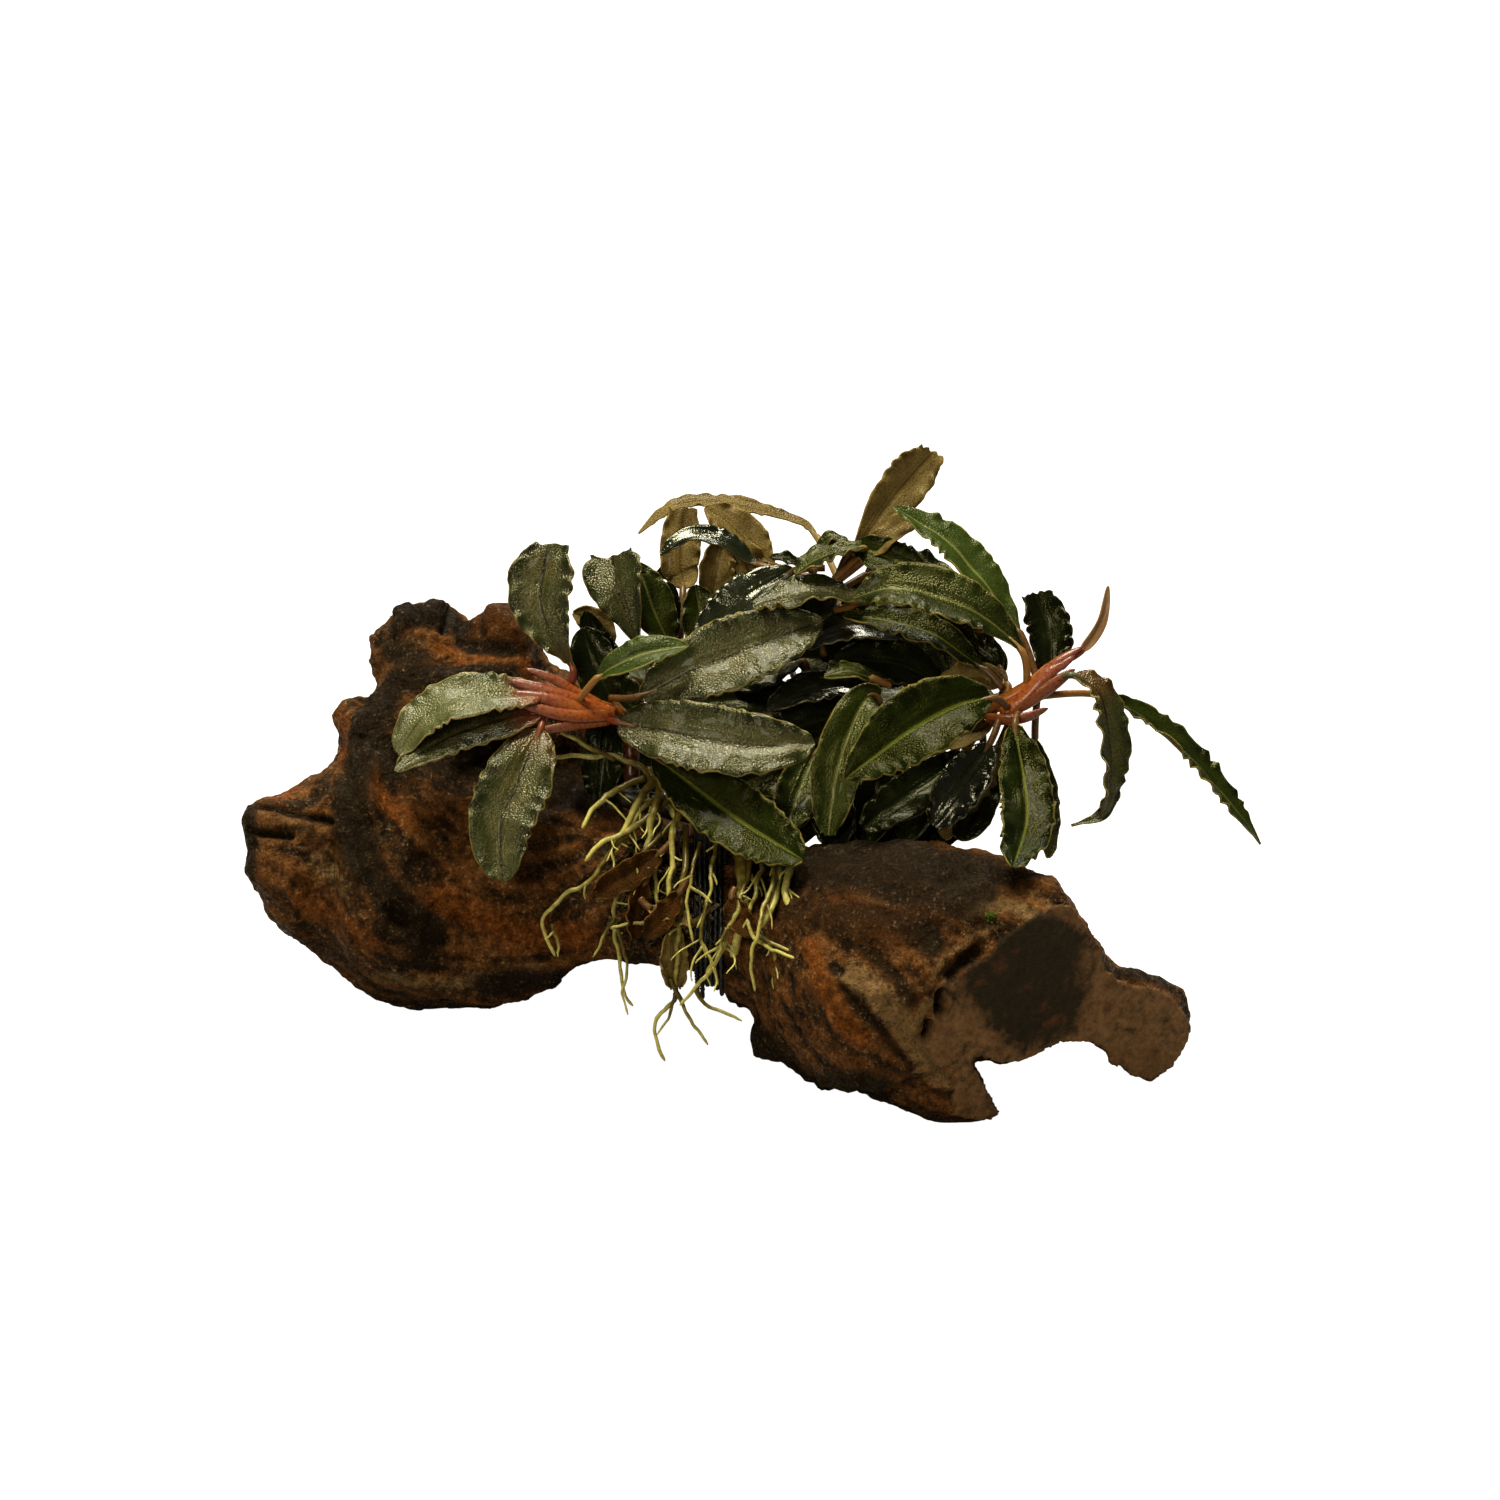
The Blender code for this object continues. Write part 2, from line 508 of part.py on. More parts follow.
LEAVES = [
    Leaf("left_1", 13.0, POINTED, (-0.2, 0.2, 1.0), [
        (-36.4, 87.6, -17.8), (-35.2, 91.6, -16.4), (-38.4, 98.0, -14.6), (-42.0, 106.0, -15.0),
        (-38.8, 117.4, -19.0),
    ]),
    Leaf("left_2", 10.5, POINTED, (-0.2, 0.75, 0.65), [
        (-45.6, 88.3, -16.9), (-49.0, 89.0, -15.5), (-58.0, 88.0, -13.0), (-65.5, 83.0, -11.0),
        (-69.8, 76.8, -9.5),
    ]),
    Leaf("left_3", 9.0, POINTED, (-0.3, 0.9, 0.4), [
        (-44.6, 84.4, -14.6), (-48.4, 84.2, -12.0), (-56.0, 81.6, -8.6), (-64.0, 77.0, -6.4),
        (-71.0, 70.8, -5.0),
    ]),
    Leaf("left_4", 14.6, POINTED, (-0.15, 0.15, 1.0), [
        (-41.0, 83.4, -16.0), (-42.0, 79.6, -12.0), (-45.6, 71.0, -8.0), (-49.8, 60.5, -6.0),
        (-49.6, 49.6, -4.6),
    ]),
    Leaf("left_5", 6.8, POINTED, (0.0, 0.6, 0.8), [
        (-34.2, 85.6, -14.8), (-31.5, 89.2, -11.4), (-27.0, 92.8, -9.6), (-20.0, 95.6, -9.0),
        (-12.2, 96.0, -9.6),
    ]),
    Leaf("left_6", 15.0, POINTED, (0.0, 0.35, 1.0), [
        (-28.0, 86.0, -18.2), (-22.0, 86.4, -14.6), (-12.0, 91.2, -13.0), (0.0, 95.4, -13.0),
        (13.0, 100.0, -15.0),
    ]),
    Leaf("left_7", 14.4, POINTED, (0.0, 0.3, 1.0), [
        (-28.6, 81.6, -17.0), (-26.4, 81.2, -12.8), (-16.0, 79.2, -8.0), (-4.0, 77.0, -5.5),
        (4.0, 76.4, -5.2), (12.8, 77.4, -6.0),
    ]),
    Leaf("left_8", 14.0, POINTED, (-0.1, 0.35, 1.0), [
        (-24.4, 79.4, -18.6), (-19.4, 74.6, -14.0), (-10.0, 67.0, -9.0), (-1.0, 60.8, -4.0),
        (11.6, 53.4, 4.5),
    ]),
    Leaf("back_1", 10.0, BLUNT, (-0.2, 0.1, 1.0), [
        (-19.2, 92.2, -30.0), (-21.6, 96.0, -26.5), (-25.4, 104.0, -24.6), (-28.6, 110.0, -25.0),
        (-29.0, 115.4, -27.4),
    ]),
    Leaf("back_2", 9.0, POINTED, (0.3, 0.2, 1.0), [
        (-15.2, 93.2, -32.6), (-16.0, 96.6, -31.4), (-19.4, 104.0, -30.4), (-22.6, 113.0, -31.0),
    ]),
    Leaf("back_3", 10.0, POINTED, (-0.2, 0.5, 1.0), [
        (15.0, 112.0, -26.8), (11.6, 113.0, -27.0), (6.0, 111.4, -26.0), (0.0, 107.0, -24.4),
        (-6.0, 102.0, -23.2), (-12.2, 97.2, -22.8),
    ]),
    Leaf("back_4", 7.0, POINTED, (0.0, 1.0, 0.25), [
        (16.2, 109.4, -28.6), (1.8, 114.2, -33.0), (-5.2, 118.2, -32.6), (-12.2, 119.0, -32.0),
        (-16.6, 115.0, -31.6),
    ]),
    Leaf("back_5", 8.0, POINTED, (0.3, 0.2, 1.0), [
        (18.4, 108.2, -28.4), (5.0, 112.4, -38.0), (-1.0, 118.0, -39.6), (-5.0, 121.6, -40.4),
        (-8.6, 124.0, -41.0),
    ]),
    Leaf("back_6", 8.4, POINTED, (0.0, 0.1, 1.0), [
        (-14.6, 88.0, -33.2), (-13.4, 108.0, -41.6), (-14.0, 113.0, -42.4), (-13.0, 124.0, -43.4),
    ]),
    Leaf("back_7", 8.0, POINTED, (0.0, 1.0, 0.1), [
        (19.2, 106.2, -29.6), (12.8, 118.4, -46.0), (8.0, 122.0, -48.4), (0.4, 124.8, -48.5),
        (-5.2, 126.2, -48.5), (-14.8, 125.4, -48.5), (-22.0, 120.0, -48.0),
    ]),
    Leaf("back_8", 6.0, POINTED, (0.0, 0.5, 1.0), [
        (-19.8, 88.6, -30.4), (-24.0, 90.0, -28.6), (-28.0, 93.0, -28.0), (-31.0, 98.0, -28.4),
        (-33.0, 103.4, -29.0),
    ]),
    Leaf("top_1", 8.8, BLUNT, (0.3, 0.1, 1.0), [
        (19.2, 112.4, -25.0), (22.2, 118.0, -24.6), (27.4, 124.8, -25.0), (31.6, 130.0, -26.0),
        (35.6, 135.4, -27.0),
    ]),
    Leaf("top_2", 5.0, POINTED, (0.2, 0.8, 0.6), [
        (20.2, 110.8, -22.4), (23.4, 115.0, -20.0), (28.0, 120.4, -20.0), (33.0, 123.6, -21.0),
    ]),
    Leaf("top_3", 7.5, POINTED, (0.0, 0.9, 0.45), [
        (20.0, 108.2, -26.6), (23.0, 110.6, -28.0), (28.0, 113.0, -28.0), (34.0, 112.6, -27.6),
        (41.0, 109.6, -26.6),
    ]),
    Leaf("top_4", 8.0, POINTED, (0.0, 0.8, 0.6), [
        (15.8, 107.8, -22.0), (13.0, 107.6, -18.0), (8.0, 107.0, -15.8), (2.2, 104.6, -15.0),
    ]),
    Leaf("top_5", 6.0, POINTED, (-0.1, 0.9, 0.5), [
        (16.6, 112.8, -22.4), (15.4, 114.6, -20.0), (12.0, 114.2, -18.6), (8.4, 111.4, -17.8),
    ]),
    Leaf("right_1", 15.6, POINTED, (0.0, 0.35, 1.0), [
        (51.4, 84.2, -8.6), (48.4, 86.0, -5.0), (40.0, 84.0, -2.0), (30.0, 78.0, 0.0),
        (19.0, 69.8, 0.5),
    ]),
    Leaf("right_2", 11.6, POINTED, (0.1, 0.6, 0.8), [
        (56.6, 91.6, -9.4), (54.4, 95.4, -8.6), (47.0, 102.4, -8.0), (36.0, 107.0, -8.4),
        (28.0, 108.0, -9.0), (21.6, 106.4, -10.4),
    ]),
    Leaf("right_3", 8.0, POINTED, (0.0, 0.7, 0.7), [
        (50.6, 87.8, -13.2), (47.0, 91.6, -14.6), (38.0, 98.0, -15.6), (30.0, 101.0, -16.4),
        (18.6, 102.6, -17.4),
    ]),
    Leaf("right_4", 8.6, POINTED, (0.4, 0.7, 0.6), [
        (58.6, 92.8, -13.4), (55.0, 100.0, -14.5), (48.0, 112.4, -15.4), (40.0, 120.4, -16.0),
        (29.2, 124.8, -17.0),
    ]),
    Leaf("right_5", 9.6, BLUNT, (0.1, 0.2, 1.0), [
        (61.2, 93.8, -14.6), (60.8, 96.4, -16.6), (60.0, 102.0, -17.8), (58.6, 107.8, -19.0),
    ]),
    Leaf("right_6", 1.8, POINTED, (0.1, 0.2, 1.0), [
        (63.8, 94.8, -11.0), (67.2, 96.0, -10.8), (70.8, 101.2, -11.0), (71.8, 108.4, -11.5),
    ]),
    Leaf("right_7", 8.0, POINTED, (0.75, 0.5, 0.45), [
        (64.2, 91.4, -10.2), (67.6, 89.8, -8.4), (71.2, 86.0, -7.0), (73.2, 78.6, -6.2),
        (72.8, 70.6, -6.0), (70.0, 64.4, -6.6), (65.0, 61.2, -7.2),
    ]),
    Leaf("right_8", 8.0, POINTED, (0.6, 0.55, 0.5), [
        (62.6, 89.4, -13.4), (72.0, 88.0, -16.0), (83.0, 79.4, -17.6), (92.0, 68.0, -18.4),
        (101.4, 57.4, -19.0),
    ]),
    Leaf("right_9", 11.6, POINTED, (0.1, 0.3, 1.0), [
        (54.6, 84.6, -11.8), (53.4, 80.4, -7.0), (55.6, 71.6, -2.0), (56.0, 61.6, 5.0),
        (52.8, 52.4, 17.0),
    ]),
    Leaf("right_10", 6.0, POINTED, (0.3, 0.0, 1.0), [
        (57.4, 85.8, -13.2), (58.6, 80.0, -17.0), (60.0, 70.0, -19.0), (60.0, 61.0, -19.0),
        (60.0, 55.0, -19.0),
    ]),
    Leaf("right_11", 10.0, POINTED, (-0.15, 0.1, 1.0), [
        (27.0, 77.0, -19.4), (25.6, 86.0, -14.6), (22.0, 84.0, -10.6), (17.6, 72.0, -7.0),
        (16.0, 61.2, -5.4),
    ]),
    Leaf("right_12", 9.0, POINTED, (0.0, 0.3, 1.0), [
        (46.4, 80.4, -14.6), (42.6, 75.0, -12.0), (36.0, 69.4, -10.0), (28.0, 64.0, -8.0),
        (22.6, 61.6, -7.4),
    ]),
    Leaf("right_13", 8.0, POINTED, (0.1, 0.3, 1.0), [
        (49.8, 81.6, -10.4), (48.0, 77.0, -8.6), (44.0, 69.6, -7.0), (38.0, 62.8, -5.6),
    ]),
    Leaf("right_14", 5.6, POINTED, (1.0, 0.1, 0.8), [
        (52.4, 82.4, -13.8), (50.6, 77.0, -14.0), (48.0, 70.0, -13.4), (45.6, 64.0, -13.0),
    ]),
    Leaf("middle_1", 9.0, POINTED, (0.0, 0.8, 0.6), [
        (31.4, 79.2, -19.2), (31.6, 96.0, -23.0), (24.0, 100.0, -21.4), (17.0, 99.4, -20.4),
        (11.6, 96.0, -20.2),
    ]),
    Leaf("middle_2", 7.4, POINTED, (0.0, 0.7, 0.7), [
        (22.4, 74.6, -19.8), (22.4, 87.0, -22.0), (14.0, 88.0, -19.0), (5.4, 84.6, -17.0),
    ]),
    Leaf("middle_3", 7.0, POINTED, (0.0, 0.6, 0.8), [
        (11.4, 89.2, -24.8), (10.6, 93.4, -24.0), (5.0, 92.0, -22.6), (-1.4, 89.0, -22.0),
    ]),
    Leaf("middle_4", 8.0, POINTED, (0.1, 0.4, 1.0), [
        (-13.8, 90.0, -31.8), (-11.4, 94.4, -32.6), (-9.6, 100.0, -33.0), (-11.0, 108.6, -34.0),
    ]),
    Leaf("middle_5", 10.5, POINTED, (0.0, 0.2, 1.0), [
        (40.0, 82.8, -17.8), (40.4, 88.0, -24.0), (37.0, 96.0, -28.0), (30.0, 105.0, -31.0),
    ]),
    Leaf("middle_6", 9.0, POINTED, (0.0, 0.2, 1.0), [
        (15.0, 70.6, -19.6), (13.6, 75.4, -16.4), (10.4, 69.0, -12.0), (7.0, 58.6, -5.6),
    ]),
    Leaf("rear_1", 10.0, POINTED, (0.0, 1.0, -0.2), [
        (-18.6, 86.0, -33.0), (-21.0, 88.0, -40.0), (-24.0, 92.0, -50.0), (-25.0, 93.0, -62.0),
    ]),
    Leaf("rear_2", 12.0, POINTED, (0.0, 1.0, -0.2), [
        (10.2, 86.0, -30.2), (8.0, 92.0, -38.0), (4.0, 97.0, -50.0), (1.0, 97.0, -62.0),
    ]),
    Leaf("rear_3", 12.0, POINTED, (0.0, 1.0, -0.2), [
        (24.0, 72.0, -20.6), (27.0, 80.0, -30.0), (32.0, 88.0, -42.0), (36.0, 90.0, -56.0),
    ]),
]

# Thread

THREAD_RADIUS = 0.45
THREAD_CLEAR = THREAD_RADIUS + GAP + 0.3
THREAD_SIDES = 5
THREAD_TURNS = 3.5
THREAD_STEPS = 90
THREAD_SLACK = 0.12
THREAD_PITCH = 1.9
THREAD_LEFT = -11.4
THREAD_START = math.radians(-60)
THREAD_AXIS = placed(0.0, 43.0, 27.0)
THREAD_FAR = 90.0
THREAD_NUDGE = 0.1
THREAD_PULLS = 450
THREAD = Finish((0.012, 0.012, 0.013), 0.45)


def make_rhizome(rhizome):
    """A creeping stem with a low knuckle at each old leaf scar."""
    curve = smooth_curve([seen(*point) for point in rhizome.path], CURVE_STEPS)
    points = evenly(curve, 2 * len(rhizome.path) + 1)
    radii = []
    for index in range(len(points)):
        share = index / (len(points) - 1)
        radius = rhizome.first_radius + (rhizome.last_radius - rhizome.first_radius) * share
        radii.append(radius * (1 + RHIZOME_KNUCKLE * (-1) ** index))
    bm = bmesh.new()
    tube(bm, points, radii, RHIZOME_SIDES)
    solid = bm.copy()
    finished(rhizome.name, bm, rhizome.finish)
    return solid


def make_root(number, root):
    """A root that narrows to its tip."""
    curve = smooth_curve([seen(*point) for point in root.path], CURVE_STEPS)
    points = evenly(curve, len(root.path) + 2)
    last = len(points) - 1
    radii = [root.radius + (ROOT_TIP - root.radius) * index / last for index in range(last + 1)]
    bm = bmesh.new()
    tube(bm, points, radii, ROOT_SIDES)
    finished(f"root_{number}", bm, ROOT)


def blade_width(share, tip):
    """How wide a blade is along its length, next to its widest."""
    widest = math.sin(math.pi * share**BLADE_BELLY) ** BLADE_FULLNESS if share < 1 else 0.0
    return max(widest, tip * share, POINTED)


def leaf_section(point, heading, face, half_width, half_thickness, ripple):
    """Left edge, top, right edge and bottom of a leaf at one place along it."""
    side = heading.cross(face).normalized()
    normal = side.cross(heading).normalized()
    raised = half_width * 2 * FOLD
    return [
        point - side * half_width + normal * (raised + ripple),
        point + normal * half_thickness,
        point + side * half_width + normal * (raised - ripple),
        point - normal * half_thickness,
    ]


def make_leaf(leaf):
    """A stalk and a folded blade with a wavy margin, as one thin body."""
    curve = smooth_curve([seen(*point) for point in leaf.path], CURVE_STEPS)
    stalk = evenly(curve[: CURVE_STEPS + 1], STALK_STATIONS + 1)[:-1]
    blade = evenly(curve[CURVE_STEPS:], BLADE_STATIONS)
    points = stalk + blade
    face = turned(*leaf.face)
    sections = []
    for index, (point, heading) in enumerate(zip(points, headings(points))):
        share = (index - STALK_STATIONS) / (BLADE_STATIONS - 1)
        if share <= 0:
            half_width = min(STALK_RADIUS, leaf.width / 2)
            sections.append(leaf_section(point, heading, face, half_width, STALK_RADIUS, 0.0))
            continue
        width = blade_width(share, leaf.tip)
        thickness = BLADE_THICKNESS * (1 - TIP_THINNING * share) / 2
        ripple = RIPPLE * width * (-1) ** index * min(leaf.width / RIPPLE_WIDTH, 1)
        half_width = leaf.width / 2 * width
        sections.append(leaf_section(point, heading, face, half_width, thickness, ripple))
    bm = bmesh.new()
    sweep(bm, sections)
    finished(f"leaf_{leaf.name}", bm, LEAF)


def without_straights(points, slack):
    """The points of a curve that it needs to stay within some slack of its route."""
    kept, start = [points[0]], 0
    for end in range(2, len(points)):
        chord = (points[end] - points[start]).normalized()
        offsets = [point - points[start] for point in points[start + 1 : end]]
        if max((offset - chord * offset.dot(chord)).length for offset in offsets) > slack:
            start = end - 1
            kept.append(points[start])
    return kept + [points[-1]]


def make_thread(held):
    """The thread, pulled tight round the saddle and the creeping stem."""
    surface = BVHTree.FromBMesh(held)
    count = int(THREAD_TURNS * THREAD_STEPS)
    step = math.tau / THREAD_STEPS
    places, reaches = [], []
    for index in range(count):
        x = THREAD_LEFT + THREAD_PITCH * index / THREAD_STEPS
        angle = step * index + THREAD_START
        origin = Vector((x, THREAD_AXIS.y, THREAD_AXIS.z))
        outward = Vector((0, math.cos(angle), math.sin(angle)))
        reach = (surface.ray_cast(origin + outward * THREAD_FAR, -outward)[0] - origin).length
        while surface.find_nearest(origin + outward * reach)[3] < THREAD_CLEAR:
            reach += THREAD_NUDGE
        places.append((origin, outward))
        reaches.append(reach)
    for _ in range(THREAD_PULLS):
        for index in range(1, count - 1):
            before, after = reaches[index - 1], reaches[index + 1]
            straight = 2 * before * after * math.cos(step) / (before + after)
            reaches[index] = max(reaches[index], straight)
    points = [origin + outward * reach for (origin, outward), reach in zip(places, reaches)]
    points = without_straights(points, THREAD_SLACK)
    bm = bmesh.new()
    tube(bm, points, [THREAD_RADIUS] * len(points), THREAD_SIDES)
    finished("tying_thread", bm, THREAD)


def main():
    """Clears the file and makes every piece."""
    for obj in list(bpy.data.objects):
        bpy.data.objects.remove(obj)
    held = make_driftwood()
    for rhizome in RHIZOMES:
        solid = make_rhizome(rhizome)
        if rhizome.name == "rhizome_main":
            mesh = bpy.data.meshes.new("main stem")
            solid.to_mesh(mesh)
            held.from_mesh(mesh)
            bpy.data.meshes.remove(mesh)
        solid.free()
    for number, root in enumerate(ROOTS, 1):
        make_root(number, root)
    for leaf in LEAVES:
        make_leaf(leaf)
    make_thread(held)
    held.free()


main()
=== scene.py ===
"""Bucephalandra tied to driftwood, dressed over its solids for a studio photograph.

Lengths are millimetres until a mesh is finished, and metres after that. Most points are
read from the usual view, which looks to the back and 30 degrees down: across to the right,
up the picture, and near, which is towards the viewer.
"""

import math
import random
from collections import namedtuple

import bmesh
import bpy
import numpy as np
from mathutils import Matrix, Vector, noise
from mathutils.bvhtree import BVHTree
from mathutils.geometry import interpolate_bezier
from mathutils.kdtree import KDTree


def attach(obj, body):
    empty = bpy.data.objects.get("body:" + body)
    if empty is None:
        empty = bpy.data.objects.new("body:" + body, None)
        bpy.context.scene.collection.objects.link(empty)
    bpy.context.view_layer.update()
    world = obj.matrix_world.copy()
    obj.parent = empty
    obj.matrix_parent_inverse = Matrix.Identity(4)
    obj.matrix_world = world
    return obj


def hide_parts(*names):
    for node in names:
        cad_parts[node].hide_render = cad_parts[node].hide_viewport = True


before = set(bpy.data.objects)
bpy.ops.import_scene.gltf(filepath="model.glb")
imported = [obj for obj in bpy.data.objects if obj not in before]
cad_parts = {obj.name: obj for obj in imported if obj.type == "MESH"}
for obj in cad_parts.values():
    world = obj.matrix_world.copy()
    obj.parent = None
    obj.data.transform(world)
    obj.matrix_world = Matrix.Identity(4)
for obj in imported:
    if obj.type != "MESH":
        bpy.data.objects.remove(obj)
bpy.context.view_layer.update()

# One millimetre in metres
MM = 0.001
# The usual view: how steeply it looks down, from how far, and at which height and depth
VIEW_DOWN = math.radians(30)
VIEW_DISTANCE = 1125.0
VIEW_UP = 75.6
VIEW_NEAR = -20.0
# From where the usual view counts its depths to the middle of the part
FOOT_TO_MIDDLE = Vector((0.0, 52.0, 0.0))
# Steps of a soft curve between two of its points
CURVE_STEPS = 12
# Roots and litter wander by vector noise, which would otherwise differ from run to run
WANDER_SEED = 1795815475
noise.seed_set(WANDER_SEED)


def view_scale(near):
    """How wide the usual view is at a depth, next to its width at VIEW_NEAR."""
    return 1.0 - (near - VIEW_NEAR) / VIEW_DISTANCE


def turned(across, up, near):
    """A direction of the usual view as a direction in space."""
    sin, cos = math.sin(VIEW_DOWN), math.cos(VIEW_DOWN)
    return Vector((across, up * sin - near * cos, up * cos + near * sin))


def seen(across, up, near):
    """The place of a point read from the usual view."""
    scale = view_scale(near)
    spot = turned(across * scale, VIEW_UP + (up - VIEW_UP) * scale, near)
    return spot - FOOT_TO_MIDDLE


VIEWPOINT = seen(0.0, VIEW_UP, VIEW_NEAR + VIEW_DISTANCE)


# Curves and tubes


def smooth_curve(points, steps=CURVE_STEPS):
    """Points along a soft curve through the given ones, with some steps to each span."""
    curve = [points[0]]
    for index in range(len(points) - 1):
        start, end = points[index], points[index + 1]
        before = points[max(index - 1, 0)]
        after = points[min(index + 2, len(points) - 1)]
        out_handle = start + (end - before) / 6
        in_handle = end - (after - start) / 6
        curve += interpolate_bezier(start, out_handle, in_handle, end, steps + 1)[1:]
    return curve


def route(path):
    """The soft curve through points of the usual view."""
    return smooth_curve([seen(*point) for point in path])


def length_of(curve):
    """The length of a curve."""
    return sum((after - before).length for before, after in zip(curve, curve[1:]))


def evenly(curve, count):
    """Points that divide a curve into equal lengths."""
    lengths = [0.0]
    for before, after in zip(curve, curve[1:]):
        lengths.append(lengths[-1] + (after - before).length)
    result, index = [], 0
    for step in range(count):
        wanted = lengths[-1] * step / (count - 1)
        while index < len(curve) - 2 and lengths[index + 1] < wanted:
            index += 1
        share = (wanted - lengths[index]) / (lengths[index + 1] - lengths[index])
        result.append(curve[index].lerp(curve[index + 1], share))
    return result


def headings(points):
    """The direction of the curve at each of its points."""
    last = len(points) - 1
    return [
        (points[min(i + 1, last)] - points[max(i - 1, 0)]).normalized() for i in range(last + 1)
    ]


def grown_ring(bm, ring, places):
    """Extrudes a ring of corners and moves the new ones to their places."""
    edges = [bm.edges.get((corner, ring[index - 1])) for index, corner in enumerate(ring)]
    made = bmesh.ops.extrude_edge_only(bm, edges=edges)
    fresh = {item for item in made["geom"] if isinstance(item, bmesh.types.BMVert)}
    following = []
    for corner, place in zip(ring, places):
        neighbours = [edge.other_vert(corner) for edge in corner.link_edges]
        partner = next(vert for vert in neighbours if vert in fresh)
        partner.co = place
        following.append(partner)
    return following


def tube(bm, points, radii, sides, material=0, lobes=None):
    """A closed round body along a curve. Its "along" layer runs from 0 to 1.

    lobes is the height of two lobes that wind round the tube, and the length of their turn.
    """
    along = bm.verts.layers.float.get("along") or bm.verts.layers.float.new("along")
    faces_before = set(bm.faces)
    across = headings(points)[0].orthogonal()
    ring, walked = None, 0.0
    for index, (point, heading) in enumerate(zip(points, headings(points))):
        across = (across - heading * across.dot(heading)).normalized()
        other = heading.cross(across)
        walked += (point - points[max(index - 1, 0)]).length
        places = []
        for side in range(sides):
            angle = math.tau * side / sides
            radius = radii[index]
            if lobes:
                radius *= 1 + lobes[0] * math.cos(2 * angle - math.tau * walked / lobes[1])
            places.append(point + (across * math.cos(angle) + other * math.sin(angle)) * radius)
        if ring is None:
            made = bmesh.ops.create_circle(bm, cap_ends=False, segments=sides, radius=1.0)
            ring = made["verts"]
            first = ring
            for corner, place in zip(ring, places):
                corner.co = place
        else:
            ring = grown_ring(bm, ring, places)
        for corner in ring:
            corner[along] = index / (len(points) - 1)
    ends = [bm.edges.get((row[i], row[i - 1])) for row in (first, ring) for i in range(sides)]
    bmesh.ops.holes_fill(bm, edges=ends, sides=sides)
    made = [face for face in bm.faces if face not in faces_before]
    for face in made:
        face.material_index = material
    bmesh.ops.recalc_face_normals(bm, faces=made)


def as_mesh(name, bm):
    """The mesh that a bmesh has shaped."""
    mesh = bpy.data.meshes.new(name)
    bm.to_mesh(mesh)
    bm.free()
    return mesh


def in_scene(name, data):
    """A new object of the scene with this mesh, lamp or camera."""
    made = bpy.data.objects.new(name, data)
    bpy.context.scene.collection.objects.link(made)
    return made


def finished(name, bm, materials, replaced=()):
    """Makes the object for one piece, in metres, and sets it on the part's body."""
    bmesh.ops.transform(bm, matrix=Matrix.Scale(MM, 4), verts=bm.verts)
    for face in bm.faces:
        face.smooth = True
    mesh = as_mesh(name, bm)
    for material in materials:
        mesh.materials.append(material)
    piece = in_scene(name, mesh)
    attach(piece, "root")
    if replaced:
        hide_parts(*replaced)


# Materials


def colour(code):
    """An sRGB hex colour as the linear red, green, blue and alpha that a shader reads."""
    shares = [int(code[start : start + 2], 16) / 255 for start in (1, 3, 5)]
    linear = [s / 12.92 if s <= 0.04045 else ((s + 0.055) / 1.055) ** 2.4 for s in shares]
    return (*linear, 1.0)


def cells(size):
    """The scale of a pattern whose cells are this many millimetres wide."""
    return 1.0 / (size * MM)


def new_material(name, constants):
    """A material whose shader has these constant values."""
    material = bpy.data.materials.new(name)
    material.use_nodes = True
    shader = material.node_tree.nodes["Principled BSDF"]
    for socket, value in constants.items():
        shader.inputs[socket].default_value = value
    return material


def add(material, kind, settings, inputs, output=0):
    """Adds a node with its settings, and its inputs as values or links. Gives one output."""
    tree = material.node_tree
    made = tree.nodes.new("ShaderNode" + kind)
    for name, value in settings.items():
        setattr(made, name, value)
    for key, value in inputs.items():
        if isinstance(value, bpy.types.NodeSocket):
            tree.links.new(value, made.inputs[key])
        else:
            made.inputs[key].default_value = value
    return made.outputs[output]


def dress(material, **sockets):
    """Links patterns to the sockets of the material's shader."""
    shader = material.node_tree.nodes["Principled BSDF"]
    for name, source in sockets.items():
        material.node_tree.links.new(source, shader.inputs[name.replace("_", " ")])


# Settings that many nodes share
SOFT_STEP = {"interpolation_type": "SMOOTHSTEP"}
COLOURS = {"data_type": "RGBA"}
PLUS = {"operation": "ADD"}
TIMES = {"operation": "MULTIPLY"}
TIMES_PLUS = {"operation": "MULTIPLY_ADD"}
SCALED = {"operation": "SCALE"}


